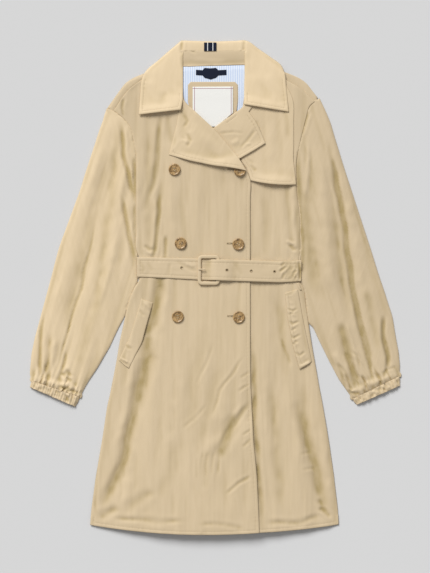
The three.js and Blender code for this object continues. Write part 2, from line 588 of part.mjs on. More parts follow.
// Turns the panel's edge over into each of the strips: the two layers are one cloth round the fold
function foldOver(name, colour, panel, strips) {
  const vertices = panel.vertices.map((vertex) => [...vertex]);
  const triangles = [...panel.sides];
  const key = ([x, y]) => `${x.toFixed(2)},${y.toFixed(2)}`;
  const folded = new Set();
  for (const strip of strips) {
    const base = vertices.length;
    vertices.push(...strip.vertices.map((vertex) => [...vertex]));
    triangles.push(...strip.sides.map((face) => face.map((index) => index + base)));
    const corners = new Map(strip.edges.map(([from]) => [key(strip.vertices[from]), from]));
    const shared = panel.edges.filter(([from, to]) => (
      corners.has(key(panel.vertices[from])) && corners.has(key(panel.vertices[to]))));
    const starts = new Set(shared.map(([from]) => from));
    const ends = new Set(shared.map(([, to]) => to));
    const stripShared = new Set();
    for (const [from, to] of shared) {
      const [stripFrom, stripTo] = [from, to].map((corner) => corners.get(key(panel.vertices[corner])));
      stripShared.add(`${stripFrom},${stripTo}`);
      folded.add(`${from},${to}`);
      const [lowFrom, lowTo] = [from + panel.count, to + panel.count];
      const [upFrom, upTo] = [stripFrom + base, stripTo + base];
      const [overFrom, overTo] = [upFrom + strip.count, upTo + strip.count];
      triangles.push([from, to, overTo], [from, overTo, overFrom]);
      triangles.push([lowFrom, upFrom, upTo], [lowFrom, upTo, lowTo]);
      if (!ends.has(from)) triangles.push([from, overFrom, upFrom], [from, upFrom, lowFrom]);
      if (!starts.has(to)) triangles.push([to, upTo, overTo], [to, lowTo, upTo]);
      for (const [low, up] of [[lowFrom, upFrom], [lowTo, upTo]]) {
        const [seamX, seamY] = strip.seamEnds.get(key(vertices[up])) ?? [];
        if (seamX === undefined) continue;
        const [foldX, foldY] = vertices[up];
        const share = CLOTH / Math.hypot(seamX - foldX, seamY - foldY);
        for (const inner of [low, up]) {
          vertices[inner][0] = mix(foldX, seamX, share);
          vertices[inner][1] = mix(foldY, seamY, share);
        }
      }
    }
    const stripWalls = strip.edges.filter(([from, to]) => !stripShared.has(`${from},${to}`));
    triangles.push(...stripWalls.flatMap((edge) => (
      wallOf(edge, strip.count).map((face) => face.map((index) => index + base)))));
  }
  const walls = panel.edges.filter(([from, to]) => !folded.has(`${from},${to}`));
  triangles.push(...walls.flatMap((edge) => wallOf(edge, panel.count)));
  return meshFrom(name, colour, vertices, triangles);
}

// Joins closed meshes that overlap into one
function join(name, colour, ...meshes) {
  const solids = meshes.map((mesh) => {
    const vertProperties = new Float32Array(mesh.geometry.attributes.position.array);
    const triVerts = new Uint32Array(mesh.geometry.index.array);
    return new wasm.Manifold(new wasm.Mesh({ numProp: 3, vertProperties, triVerts }));
  });
  const whole = solids.reduce((sum, solid) => sum.add(solid)).getMesh();
  const vertices = [];
  for (let index = 0; index < whole.vertProperties.length; index += 3) {
    vertices.push(Array.from(whole.vertProperties.slice(index, index + 3)));
  }
  const triangles = [];
  for (let index = 0; index < whole.triVerts.length; index += 3) {
    triangles.push(Array.from(whole.triVerts.slice(index, index + 3)));
  }
  return meshFrom(name, colour, vertices, triangles);
}

// Left and right sides of the body at one height of the coat
const BODY_SIDES = BACK.map(({ lx, ly, rx, ry }) => ({ y: (ly + ry) / 2, left: lx, right: rx }));

// Underside of the fronts: low at the side seams, lofted over the middle, with the folds
function frontForm(x, y) {
  const left = readTable(BODY_SIDES, 'y', 'left', y);
  const right = readTable(BODY_SIDES, 'y', 'right', y);
  const share = clamp((x - left) / (right - left), 0, 1);
  const bow = Math.sin(Math.PI * share) ** LOFT_SHAPE;
  const loft = readTable(LOFT, 'y', 'lift', y) * bow;
  const folds = foldHeight(BODY_FOLDS, x, y) * clamp(bow * FOLD_ONSET, 0, 1);
  return CLOTH + SEAM + Math.max(0, loft + folds);
}

// Underside of the back panel: flat, and raised where the belt and the collar lie behind it
function backForm(x, y) {
  const overBelt = y > 5 && y < 70 ? BELT_BED : 0;
  const overCollar = y > 420 ? COLLAR_BED : 0;
  return Math.max(overBelt, overCollar);
}

const beltBack = layer({
  name: 'belt_back', table: BELT_BACK, columns: even(1), form: () => 0, wall: BELT_WALL,
  colour: COLOURS.seamed,
});
const collarBack = layer({ name: 'collar_back', table: COLLAR_BACK, columns: even(1), form: () => 0 });
const backPanel = layer({ name: 'back_panel', table: BACK, columns: even(8), form: backForm });
const shoulders = [SHOULDER_RIGHT, SHOULDER_LEFT].map((table) => ({
  ...layer({
    name: 'shoulder_edge', table, columns: even(2), on: [backPanel],
    form: (x, y) => backForm(x, y) + CLOTH + SEAM,
  }),
  seamEnds: new Map(table.map(({ lx, ly, rx, ry }) => [`${rx.toFixed(2)},${ry.toFixed(2)}`, [lx, ly]])),
}));
const back = foldOver('back', COLOURS.cloth, backPanel, shoulders);

// Neck: lining, facing and labels, each on the one before
const lining = layer({
  name: 'neck_lining', table: LINING, columns: even(4), form: () => 0, on: [backPanel],
  wall: LINING_WALL, colour: COLOURS.lining,
});
const neckFacing = layer({
  name: 'neck_facing', table: NECK_FACING, columns: even(4), form: () => 0,
  on: [backPanel, lining], wall: LINING_WALL,
});
const neckLabel = layer({
  name: 'neck_label', table: NECK_LABEL, columns: even(4), form: () => 0, on: [neckFacing],
  wall: LINING_WALL, colour: COLOURS.label,
});
const hangerLabel = layer({
  name: 'hanger_label', table: HANGER_LABEL, columns: even(2), form: () => 0,
  on: [lining, backPanel], wall: LINING_WALL, colour: COLOURS.navy,
});
const neck = [backPanel, lining, neckFacing, neckLabel];

// Fronts: the right one laps over the left one
const frontLeft = layer({
  name: 'front_left', table: FRONT_LEFT, columns: FRONT_LEFT_COLUMNS, form: frontForm, on: neck,
});
const stormFlap = layer({
  name: 'storm_flap', table: STORM_FLAP, columns: even(6), on: [frontLeft], colour: COLOURS.seamed,
  form: (x, y, u) => {
    const lift = FLAP_LIFT.height * ease(FLAP_LIFT.from, FLAP_LIFT.full, y);
    return frontForm(x, y) + CLOTH + SEAM + lift * Math.sin(Math.PI * u);
  },
});
const lapelLeft = layer({
  name: 'lapel_left', table: LAPEL_LEFT, columns: even(4), on: [...neck, frontLeft, stormFlap],
  form: (x, y, u) => frontForm(x, y) + LAPEL_RISE.left * u, colour: COLOURS.seamed,
});
const frontRight = layer({
  name: 'front_right', table: FRONT_RIGHT, columns: FRONT_RIGHT_COLUMNS, form: frontForm,
  on: [...neck, frontLeft, lapelLeft, stormFlap],
});

// Buttons: turned horn discs with a rim, each resting on the cloth below it
function button({ name, x, y }) {
  const profile = [
    [0, 0], [10.4, 0], [12.2, 1], [BUTTON_RADIUS, 2.2], [11.6, 3.7], [10.2, BUTTON_THICK],
    [8.8, 3.2], [0, 2.7],
  ].map(([radius, height]) => new THREE.Vector2(radius, height));
  const geometry = new THREE.LatheGeometry(profile, BUTTON_SIDES);
  geometry.rotateX(Math.PI / 2);
  const material = new THREE.MeshStandardMaterial({ color: COLOURS.horn, roughness: 0.35 });
  const mesh = new THREE.Mesh(geometry, material);
  mesh.name = name;
  const rim = even(BUTTON_SIDES).map((share) => {
    const turn = 2 * Math.PI * share;
    return [x + BUTTON_RADIUS * Math.cos(turn), y + BUTTON_RADIUS * Math.sin(turn)];
  });
  let seat = 0;
  for (const [rimX, rimY] of rim) {
    forCells([[x, y], [rimX, rimY], [x + 1, y + 1]], (cell) => {
      seat = Math.max(seat, frontRight.surface[cell]);
    });
  }
  mesh.position.set(x, y, seat + SEAM);
  const top = rim.map(([rimX, rimY]) => [rimX, rimY, seat + SEAM + BUTTON_THICK]);
  const fan = even(BUTTON_SIDES - 3).map((_, index) => [0, index + 1, index + 2]);
  return { mesh, surface: surfaceOf(top, fan) };
}
const buttons = BUTTONS.map(button);
const topButton = buttons[1];

const lapelRight = layer({
  name: 'lapel_right', table: LAPEL_RIGHT, columns: even(5), colour: COLOURS.seamed,
  on: [frontRight, frontLeft, lapelLeft, stormFlap, topButton],
  form: (x, y, u) => frontForm(x, y) + CLOTH + SEAM + LAPEL_RISE.right * u,
});

// Collar: the stand inside the neck, then the fall from leaf to leaf
const stand = layer({
  name: 'collar_stand', table: COLLAR_STAND, columns: even(3), colour: COLOURS.seamed,
  on: [collarBack], form: (x, y, u) => CLOTH + SEAM + STAND_BOW * Math.sin(Math.PI * u),
});
function collarForm(x, y, u, v, place) {
  const last = COLLAR_TOP.length - 1;
  const folded = ease(COLLAR_FOLD_FROM - 1, COLLAR_FOLD_FROM, place)
    * ease(COLLAR_FOLD_TO + 1, COLLAR_FOLD_TO, place);
  const leaf = 1 - ease(...COLLAR.leafRows, Math.min(place, last - place));
  const raised = COLLAR.over + COLLAR.leaf * leaf + COLLAR.middle * Math.sin(Math.PI * u);
  return mix(raised, COLLAR.fold, folded * ease(COLLAR.foldFrom, 1, u));
}
const collarTop = layer({
  name: 'collar_top', table: COLLAR_TOP, columns: COLLAR_COLUMNS, form: collarForm,
  on: [backPanel, ...shoulders, stand, frontLeft, frontRight, lapelLeft, lapelRight, stormFlap],
});
const collar = join('collar', COLOURS.cloth, collarTop.mesh, collarBack.mesh);
const collarTape = layer({
  name: 'collar_tape', table: COLLAR_TAPE, columns: even(3), form: () => 0, on: [collarTop],
  wall: LINING_WALL, colour: COLOURS.navy,
});

// Belt, buckle and prong: the tail runs under the buckle's left bar and over its right bar
const beltUnder = layer({
  name: 'belt_under', table: BELT_UNDER, columns: even(2), form: () => 0,
  on: [frontLeft, frontRight], wall: BELT_WALL, colour: COLOURS.seamed,
});

function roundedOutline(left, right, low, high, corner, path) {
  path.moveTo(left + corner, low);
  path.lineTo(right - corner, low);
  path.absarc(right - corner, low + corner, corner, -Math.PI / 2, 0, false);
  path.lineTo(right, high - corner);
  path.absarc(right - corner, high - corner, corner, 0, Math.PI / 2, false);
  path.lineTo(left + corner, high);
  path.absarc(left + corner, high - corner, corner, Math.PI / 2, Math.PI, false);
  path.lineTo(left, low + corner);
  path.absarc(left + corner, low + corner, corner, Math.PI, 1.5 * Math.PI, false);
  return path;
}

// The buckle rests on the belt's buckle end, and leaves room for the tail under its left bar
let buckleUnder = 0;
for (const corners of [
  [[BUCKLE.left, BUCKLE.low], [BUCKLE.right, BUCKLE.low], [BUCKLE.right, BUCKLE.high]],
  [[BUCKLE.left, BUCKLE.low], [BUCKLE.right, BUCKLE.high], [BUCKLE.left, BUCKLE.high]],
]) {
  forCells(corners, (cell) => {
    const belted = frontRight.surface[cell] + 2 * SEAM + BELT_WALL;
    buckleUnder = Math.max(buckleUnder, belted, beltUnder.surface[cell] + SEAM);
  });
}

function buckleFrame() {
  const { left, right, low, high, bar, corner, thick } = BUCKLE;
  const outline = roundedOutline(left, right, low, high, corner, new THREE.Shape());
  outline.holes.push(
    roundedOutline(left + bar, right - bar, low + bar, high - bar, corner - bar, new THREE.Path()));
  const bevel = 1;
  const geometry = new THREE.ExtrudeGeometry(outline, {
    depth: thick - 2 * bevel, bevelEnabled: true, bevelThickness: bevel, bevelSize: bevel,
    bevelOffset: -bevel, bevelSegments: 1, curveSegments: 4,
  });
  geometry.translate(0, 0, bevel);
  const material = new THREE.MeshStandardMaterial({ color: COLOURS.seamed, roughness: 0.7 });
  const mesh = new THREE.Mesh(geometry, material);
  mesh.name = 'buckle';
  mesh.position.set(0, 0, buckleUnder);
  return mesh;
}
const barLeft = BUCKLE.right - BUCKLE.bar;
const rightBar = {
  surface: surfaceOf(
    [[barLeft, 0], [BUCKLE.right, 0], [BUCKLE.right, BAR_TOP], [barLeft, BAR_TOP]]
      .map(([x, y]) => [x, y, buckleUnder + BUCKLE.thick]),
    [[0, 1, 2], [0, 2, 3]]),
};
const beltFront = layer({
  name: 'belt_front', table: BELT_FRONT, columns: even(2), form: () => BELT_WALL + SEAM,
  on: [frontLeft, frontRight, beltUnder, beltBack, rightBar], wall: BELT_WALL, colour: COLOURS.seamed,
});

function prong() {
  const { tip, heel, y, width, thick } = PRONG;
  const shape = new THREE.Shape();
  const radius = width / 2;
  shape.moveTo(heel, y - radius);
  shape.absarc(heel, y, radius, -Math.PI / 2, Math.PI / 2, false);
  shape.absarc(tip + radius, y, radius, Math.PI / 2, 1.5 * Math.PI, false);
  const geometry = new THREE.ExtrudeGeometry(shape, {
    depth: thick, bevelEnabled: false, curveSegments: 6,
  });
  const material = new THREE.MeshStandardMaterial({ color: COLOURS.seamed, roughness: 0.6 });
  const mesh = new THREE.Mesh(geometry, material);
  mesh.name = 'buckle_prong';
  mesh.position.set(0, 0, buckleUnder + BUCKLE.thick + SEAM);
  return mesh;
}

const beltLoop = layer({
  name: 'belt_loop_left', table: BELT_LOOP, columns: even(1), form: () => 0, on: [frontLeft],
  colour: COLOURS.seamed,
});
const welts = [
  { name: 'pocket_welt_right', table: WELT_RIGHT, on: [frontRight] },
  { name: 'pocket_welt_left', table: WELT_LEFT, on: [frontLeft] },
].map((welt) => layer({
  ...welt, columns: even(3), form: () => 0, wall: WELT_WALL, colour: COLOURS.seamed,
}));

// Sleeves: a lower layer flat on the surface and an upper layer over it, gathered into the cuff
function sleeve(side, table, folds) {
  const under = layer({
    name: `sleeve_${side}_under`, table, columns: even(3), form: () => 0,
  });
  const upper = layer({
    name: `sleeve_${side}_upper`,
    table,
    columns: even(SLEEVE_COLUMNS),
    form: (x, y, u, v) => {
      const swell = clamp(Math.sin(Math.PI * u), 0, 1) ** 0.5;
      const open = ease(0, SLEEVE_OPEN, v);
      const gather = GATHERS.height * ease(GATHERS.from, GATHERS.to, v)
        * (0.5 + 0.5 * Math.cos(2 * Math.PI * GATHERS.count * u));
      const fold = foldHeight(folds, x, y) * ease(GATHERS.foldsEnd, GATHERS.foldsFull, v);
      return CLOTH + SEAM + Math.max(0, (SLEEVE_PUFF * open + fold + gather) * swell);
    },
    on: [under],
  });
  return [under.mesh, upper.mesh];
}

// Cuff: an elastic band closed all round and open at both ends, ribbed on the outside of its top
function cuff(name, table) {
  const sections = sectionsOf(table);
  const across = even(2 * CUFF.ribs);
  const backAcross = even(CUFF.under).reverse();
  const rings = sections.map((section) => {
    const at = (u, z) => [mix(section.lx, section.rx, u), mix(section.ly, section.ry, u), z];
    const topHeight = CUFF.wall * 2 + CUFF.gap;
    const inset = (u) => mix(CUFF.wall, CUFF.width - CUFF.wall, u) / CUFF.width;
    const edge = (u) => 1 - CUFF.sideDrop * (2 * Math.abs(u - 0.5)) ** 6;
    const ring = across.map((u, index) => ({
      outer: at(u, topHeight * edge(u) + (index % 2) * CUFF.rib * edge(u)),
      inner: at(inset(u), CUFF.wall + (topHeight * edge(inset(u)) - 2 * CUFF.wall) * CUFF.fit),
    }));
    const floor = backAcross.map((u) => ({ outer: at(u, 0), inner: at(inset(u), CUFF.wall) }));
    return [...ring, ...floor];
  });
  const count = rings[0].length;
  const vertices = rings.flatMap((ring) => [
    ...ring.map((point) => point.outer),
    ...ring.map((point) => point.inner),
  ]);
  const outer = (r, k) => r * 2 * count + (k % count);
  const inner = (r, k) => outer(r, k) + count;
  const triangles = [];
  const quad = (a, b, c, d) => triangles.push([a, b, c], [a, c, d]);
  for (let k = 0; k < count; k += 1) {
    for (let r = 0; r < rings.length - 1; r += 1) {
      quad(outer(r, k), outer(r + 1, k), outer(r + 1, k + 1), outer(r, k + 1));
      quad(inner(r, k), inner(r, k + 1), inner(r + 1, k + 1), inner(r + 1, k));
    }
    const end = rings.length - 1;
    quad(outer(0, k), outer(0, k + 1), inner(0, k + 1), inner(0, k));
    quad(outer(end, k), inner(end, k), inner(end, k + 1), outer(end, k + 1));
  }
  return meshFrom(name, COLOURS.seamed, vertices, triangles);
}

coat.add(
  back, lining.mesh, neckFacing.mesh, neckLabel.mesh, hangerLabel.mesh,
  frontLeft.mesh, frontRight.mesh, stormFlap.mesh, lapelLeft.mesh, lapelRight.mesh,
  stand.mesh, collar, collarTape.mesh,
  ...sleeve('right', SLEEVE_RIGHT, SLEEVE_RIGHT_FOLDS), ...sleeve('left', SLEEVE_LEFT, SLEEVE_LEFT_FOLDS),
  cuff('cuff_right', CUFF_RIGHT), cuff('cuff_left', CUFF_LEFT),
  beltBack.mesh, beltUnder.mesh, beltFront.mesh, buckleFrame(), prong(), beltLoop.mesh,
  ...welts.map((welt) => welt.mesh), ...buttons.map((piece) => piece.mesh),
);

export default coat;
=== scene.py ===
"""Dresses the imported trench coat: cloth, stitching, horn buttons and covered buckle, laid flat.

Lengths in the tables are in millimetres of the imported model: +X to the wearer's left, +Y to the
collar, +Z up from the floor. Meshes are made in metres.
"""

import math
from collections import namedtuple

import bpy
import numpy as np
from bpy.props import FloatProperty, FloatVectorProperty, IntProperty, PointerProperty
from bpy.types import Operator, Panel, PropertyGroup
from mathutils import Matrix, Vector
from mathutils.geometry import delaunay_2d_cdt
from mathutils.kdtree import KDTree


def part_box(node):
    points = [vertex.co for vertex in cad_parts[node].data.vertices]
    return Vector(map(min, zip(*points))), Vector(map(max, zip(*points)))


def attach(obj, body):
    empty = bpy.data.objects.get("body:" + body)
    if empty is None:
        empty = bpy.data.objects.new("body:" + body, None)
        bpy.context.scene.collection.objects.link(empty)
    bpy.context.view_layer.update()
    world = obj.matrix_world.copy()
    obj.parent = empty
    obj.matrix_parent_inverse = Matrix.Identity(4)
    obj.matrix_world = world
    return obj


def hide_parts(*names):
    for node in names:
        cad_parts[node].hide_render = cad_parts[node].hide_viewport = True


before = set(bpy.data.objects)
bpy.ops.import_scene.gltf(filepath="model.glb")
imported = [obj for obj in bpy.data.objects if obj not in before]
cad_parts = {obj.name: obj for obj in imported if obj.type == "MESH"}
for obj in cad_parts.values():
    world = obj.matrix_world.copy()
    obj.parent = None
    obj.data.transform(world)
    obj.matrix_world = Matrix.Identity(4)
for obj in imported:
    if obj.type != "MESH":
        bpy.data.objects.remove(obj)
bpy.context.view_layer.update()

bl_info = {
    "name": "Trench coat, laid flat",
    "version": (1, 0, 0),
    "blender": (4, 5, 0),
    "location": "View3D > Sidebar > Coat",
    "description": "Builds the cloth, trims and stage of a trench coat around its packed model",
    "category": "Add Mesh",
}

MM = 0.001
IMAGE = (430, 573)             # width and height of the picture, pixels
MM_PER_PIXEL = 2.1
MAP_PITCH = 1.5                # cell of the height maps
MAP_LOW = (-408.0, -546.0)
MAP_CELLS = (545, 729)         # columns, rows
LAYER_GAP = 0.35               # air between two layers of cloth
NARROWEST_CUT = 0.0101         # least width of the rectangle that a piece is cut from, metres
BORDER_PARTS = 6               # places along each step of an outline
EDGE_ROW = 1.3                 # first row of vertices inside a plain edge
SEWN_ROWS = (1.2, 3.4)         # first rows of vertices inside a top-stitched edge
STITCH_ROW = 1.1               # row of vertices on each side of a line of stitches
SWELL, GROOVE, CRIMP = 0.16, 0.34, 0.26        # relief of a top-stitched edge
EDGE_SOFTNESS = 0.9            # reach of the rounding of an edge and of the groove of its stitches
DARKEST_FOLD = 4.4             # depth of a fold whose bottom gets the full painted shade colour
TUBE_SIDE = 0.42               # height of a tube's side folds, as a share of its top
TUBE_AIR = 1.2                 # least air between a tube's two layers
SEAM_DEPTH = 1.6               # how far below its neighbour a sewn edge passes
SIDE_DEPTH = 3.0               # how far below the body's side a sleeve passes
LOWEST_COVER = 1.5             # a piece hides what is tucked under it where it lies above this
ARMHOLE_END = 286.0            # where the sleeves stop being sewn to the body, along Y
HEM_TOP = -480.0               # where the hem's top-stitching begins, along Y
BELT_LAYER, BELT_WALL = 1.4, 1.2               # height that the belt takes up, and its wall
LABEL_LAYER, LABEL_WALL = 0.6, 0.5             # the same of the lining and labels
LOOP_LAYER, LOOP_WALL = 1.2, 1.0
TAPE_LAYER = 0.7
STAND_LAYER = 0.9
LAPEL_WALL = 0.5
WELT_WALL = 0.7
BUCKLE_BAR = 7.5               # width of the covered buckle's frame
FLOOR_HALF, FLOOR_CELLS, FLOOR_LEVEL = 6.0, 12, -0.0004        # metres
SKY_STRENGTH = 0.37
KEY_STRENGTH, KEY_ANGLE = 3.1, 30
KEY_DIRECTION = (0.34, -0.68, -0.68)
SENSOR = 36                    # width of the camera's sensor
COAT_LEVEL = 0.008             # height that the picture's scale holds at, metres
CAMERA_SHIFT = 0.0015          # along Y, metres


class CoatSizes(PropertyGroup):
    """Sizes of the cloth and its sewing"""

    wall: FloatProperty(
        name="Cloth thickness", description="Wall of one layer of coat cloth",
        default=0.0009, unit="LENGTH")
    pitch: FloatProperty(
        name="Mesh pitch", description="Distance between the vertices of the visible cloth",
        default=0.0032, unit="LENGTH")
    crinkle: FloatProperty(
        name="Crinkle height", description="Height of the fine crinkles of the cloth",
        default=0.00055, unit="LENGTH")
    stitch_inset: FloatProperty(
        name="Stitch inset", description="Distance from a finished edge to its top-stitching",
        default=0.0070, unit="LENGTH")
    stitch_length: FloatProperty(
        name="Stitch length", description="Length of one stitch with the gap after it",
        default=0.0032, unit="LENGTH")
    button_hole: FloatProperty(
        name="Button hole", description="Diameter of the four holes in a button",
        default=0.0021, unit="LENGTH")
    cuff_ribs: IntProperty(
        name="Cuff ribs", description="Gathers across the top of an elastic cuff", default=21)
    camera_height: FloatProperty(
        name="Camera height", description="Height of the camera above the floor",
        default=4.0, unit="LENGTH")


class CoatColours(PropertyGroup):
    """Colours of the cloth, trims and stage, linear"""

    cloth: FloatVectorProperty(
        name="Cloth", description="Beige of the coat cloth", subtype="COLOR",
        default=(0.648, 0.513, 0.336))
    # Painted shade: colour mixed into the cloth in the bottom of folds, where their shade falls; the
    # cloth's random streaks and broad tone also darken towards it, and the buttonhole slits' painted
    # shadow is made from it
    hollow: FloatVectorProperty(
        name="Hollows", description="Cloth colour in the bottom of folds", subtype="COLOR",
        default=(0.40, 0.300, 0.135))
    thread: FloatVectorProperty(
        name="Thread", description="Sewing thread", subtype="COLOR", default=(0.60, 0.47, 0.29))
    lining: FloatVectorProperty(
        name="Lining", description="Ground of the striped lining", subtype="COLOR",
        default=(0.80, 0.85, 0.93))
    stripe: FloatVectorProperty(
        name="Stripe", description="Stripe of the lining", subtype="COLOR",
        default=(0.36, 0.49, 0.75))
    label: FloatVectorProperty(
        name="Label", description="Woven neck label", subtype="COLOR", default=(0.88, 0.87, 0.83))
    border: FloatVectorProperty(
        name="Label border", description="Woven line round the neck label", subtype="COLOR",
        default=(0.30, 0.10, 0.15))
    navy: FloatVectorProperty(
        name="Navy", description="Hanger label and collar tape", subtype="COLOR",
        default=(0.008, 0.012, 0.03))
    horn: FloatVectorProperty(
        name="Horn", description="Light parts of the buttons", subtype="COLOR",
        default=(0.50, 0.32, 0.135))
    horn_dark: FloatVectorProperty(
        name="Dark horn", description="Streaks and rims of the buttons", subtype="COLOR",
        default=(0.15, 0.08, 0.026))
    floor: FloatVectorProperty(
        name="Floor", description="Pale surface under the coat", subtype="COLOR",
        default=(0.66, 0.66, 0.66))


def sizes():
    return bpy.context.scene.coat_sizes


def colours():
    return bpy.context.scene.coat_colours


# Height maps: one number for each cell of a grid that covers the whole coat
COLUMN_X = MAP_LOW[0] + MAP_PITCH * np.arange(MAP_CELLS[0])
ROW_Y = MAP_LOW[1] + MAP_PITCH * np.arange(MAP_CELLS[1])
MAP_X, MAP_Y = np.meshgrid(COLUMN_X, ROW_Y)
MAP_PLACES = np.column_stack([MAP_X.ravel(), MAP_Y.ravel()])
FREQ_X, FREQ_Y = np.meshgrid(
    np.fft.rfftfreq(MAP_CELLS[0], MAP_PITCH), np.fft.fftfreq(MAP_CELLS[1], MAP_PITCH))


def blur(field, reach):
    """Field smoothed with a Gaussian of that reach."""
    keep = np.exp(-2 * (math.pi * reach) ** 2 * (FREQ_X ** 2 + FREQ_Y ** 2))
    return np.fft.irfft2(np.fft.rfft2(field) * keep, field.shape)


def spread(field, mask, reach):
    """Field smoothed inside its mask only, and carried a little past the mask's edge."""
    weight = blur(mask.astype(float), reach)
    filled = blur(np.where(mask, field, 0.0), reach)
    return filled / np.maximum(weight, 1e-4)


def smooth_step(low, high, value):
    """0 up to the first value, 1 from the second on, and a smooth way between them."""
    share = np.clip((value - low) / (high - low), 0, 1)
    return share * share * (3 - 2 * share)


def sample(field, points):
    """Heights of a map at points, read between its cells."""
    column = np.clip((points[:, 0] - MAP_LOW[0]) / MAP_PITCH, 0, MAP_CELLS[0] - 1.001)
    row = np.clip((points[:, 1] - MAP_LOW[1]) / MAP_PITCH, 0, MAP_CELLS[1] - 1.001)
    i, j = column.astype(int), row.astype(int)
    u, v = column - i, row - j
    low = field[j, i] * (1 - u) + field[j, i + 1] * u
    high = field[j + 1, i] * (1 - u) + field[j + 1, i + 1] * u
    return low * (1 - v) + high * v


def inside(loop, x, y):
    """Which of the places lie inside a closed outline."""
    hit = np.zeros(x.shape, bool)
    ends = np.roll(loop, -1, axis=0)
    for (ax, ay), (bx, by) in zip(loop, ends):
        if ay == by:
            continue
        crosses = (y >= min(ay, by)) & (y < max(ay, by))
        hit ^= crosses & (x < ax + (y - ay) * (bx - ax) / (by - ay))
    return hit


def mask_of(loop, margin=0.0):
    """Cells of the map inside an outline, grown by a margin."""
    mask = np.zeros(MAP_X.shape, bool)
    low = loop.min(0) - 3 * MAP_PITCH
    high = loop.max(0) + 3 * MAP_PITCH
    columns = slice(*np.searchsorted(COLUMN_X, (low[0], high[0])))
    rows = slice(*np.searchsorted(ROW_Y, (low[1], high[1])))
    mask[rows, columns] = inside(loop, MAP_X[rows, columns], MAP_Y[rows, columns])
    if margin > 0:
        mask = blur(mask.astype(float), margin) > 0.08
    return mask


def along(points, line):
    """Distance of each point to a line of points, signed to its left, and its share of the way."""
    line = np.asarray(line, float)
    steps = line[1:] - line[:-1]
    lengths = np.hypot(*steps.T)
    starts = np.concatenate([[0], np.cumsum(lengths)])
    nearest = np.full(len(points), 1e9)
    share = np.zeros(len(points))
    side = np.ones(len(points))
    for start, step, length, before in zip(line, steps, lengths, starts):
        if length == 0:
            continue
        offset = points - start
        t = np.clip(offset @ step / length ** 2, 0, 1)
        away = np.hypot(*(offset - t[:, None] * step).T)
        closer = away < nearest
        nearest = np.where(closer, away, nearest)
        share = np.where(closer, before + t * length, share)
        cross = step[0] * offset[:, 1] - step[1] * offset[:, 0]
        side = np.where(closer, np.sign(cross), side)
    return nearest, share, side, starts[-1]


def map_along(line):
    """Distance of each cell of the map to a line, its share of the way and the line's length."""
    away, share, _, length = along(MAP_PLACES, line)
    return away.reshape(MAP_X.shape), share.reshape(MAP_X.shape), length


def outward_of(loop, reach=1):
    """Direction out of a closed outline at each of its points."""
    ahead = np.roll(loop, -reach, axis=0) - np.roll(loop, reach, axis=0)
    return np.column_stack([ahead[:, 1], -ahead[:, 0]]) / np.hypot(*ahead.T)[:, None]


def signed_area(loop):
    """Area inside an outline, below 0 where it runs clockwise."""
    x, y = loop.T
    return 0.5 * float(np.sum(x * np.roll(y, -1) - np.roll(x, -1) * y))


def turned_left(loop):
    """The outline, running anticlockwise."""
    return loop[::-1] if signed_area(loop) < 0 else loop


# Outlines and surfaces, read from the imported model
def node_mesh(node):
    """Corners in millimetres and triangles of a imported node."""
    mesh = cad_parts[node].data
    mesh.calc_loop_triangles()
    corners = np.zeros(len(mesh.vertices) * 3)
    mesh.vertices.foreach_get("co", corners)
    triangles = np.zeros(len(mesh.loop_triangles) * 3, int)
    mesh.loop_triangles.foreach_get("vertices", triangles)
    corners = corners.reshape(-1, 3) / MM
    _, first, same = np.unique(np.round(corners, 3), axis=0, return_index=True, return_inverse=True)
    return corners[first], same.reshape(-1)[triangles].reshape(-1, 3)


def tilts(corners, triangles):
    """How far each triangle looks up: 1 straight up, -1 straight down."""
    a, b, c = (corners[triangles[:, k]] for k in range(3))
    normal = np.cross(b - a, c - a)
    return normal[:, 2] / np.maximum(np.linalg.norm(normal, axis=1), 1e-12)


def top_faces(node, above=None):
    """Corners and the faces of a node that look up: above a height along Y where one is given."""
    corners, triangles = node_mesh(node)
    up = tilts(corners, triangles) > 0.3
    if above is not None:
        middle = corners[triangles].mean(1)
        up &= middle[:, 2] > above(middle[:, 1])
    return corners, triangles[up]


def outlines_of(corners, faces):
    """Closed outlines of faces that look up, the longest first."""
    edges = {(face[k], face[(k + 1) % 3]): True for face in faces for k in range(3)}
    following = {start: end for start, end in edges if (end, start) not in edges}
    loops = []
    while following:
        start, at = next(iter(following.items()))
        del following[start]
        loop = [start]
        while at != start and at in following:
            loop.append(at)
            at = following.pop(at)
        loops.append(corners[loop][:, :2])
    return sorted(
        loops, key=lambda loop: -float(np.hypot(*(loop - np.roll(loop, 1, axis=0)).T).sum()))


def outline_of(corners, faces):
    """Longest closed outline of faces that look up."""
    return outlines_of(corners, faces)[0]


def rounded(loop, step=4.0, corner=38.0):
    """Outline drawn as curves between its corners, where it turns by more than an angle."""
    back, ahead = loop - np.roll(loop, 1, axis=0), np.roll(loop, -1, axis=0) - loop
    cross = back[:, 0] * ahead[:, 1] - back[:, 1] * ahead[:, 0]
    turn = np.degrees(np.abs(np.arctan2(cross, (back * ahead).sum(1))))
    sharp = turn > corner
    before, after = np.hypot(*back.T), np.hypot(*ahead.T)
    slope = back / before[:, None] * after[:, None] + ahead / after[:, None] * before[:, None]
    slope /= (before + after)[:, None]
    points = []
    count = len(loop)
    for index in range(count):
        other = (index + 1) % count
        start, end, length = loop[index], loop[other], after[index]
        chord = (end - start) / length
        leave = chord if sharp[index] else slope[index]
        reach = chord if sharp[other] else slope[other]
        parts = max(1, int(round(length / step)))
        for t in np.arange(parts) / parts:
            points.append(
                (2 * t ** 3 - 3 * t ** 2 + 1) * start + (t ** 3 - 2 * t ** 2 + t) * length * leave
                + (3 * t ** 2 - 2 * t ** 3) * end + (t ** 3 - t ** 2) * length * reach)
    return np.array(points)


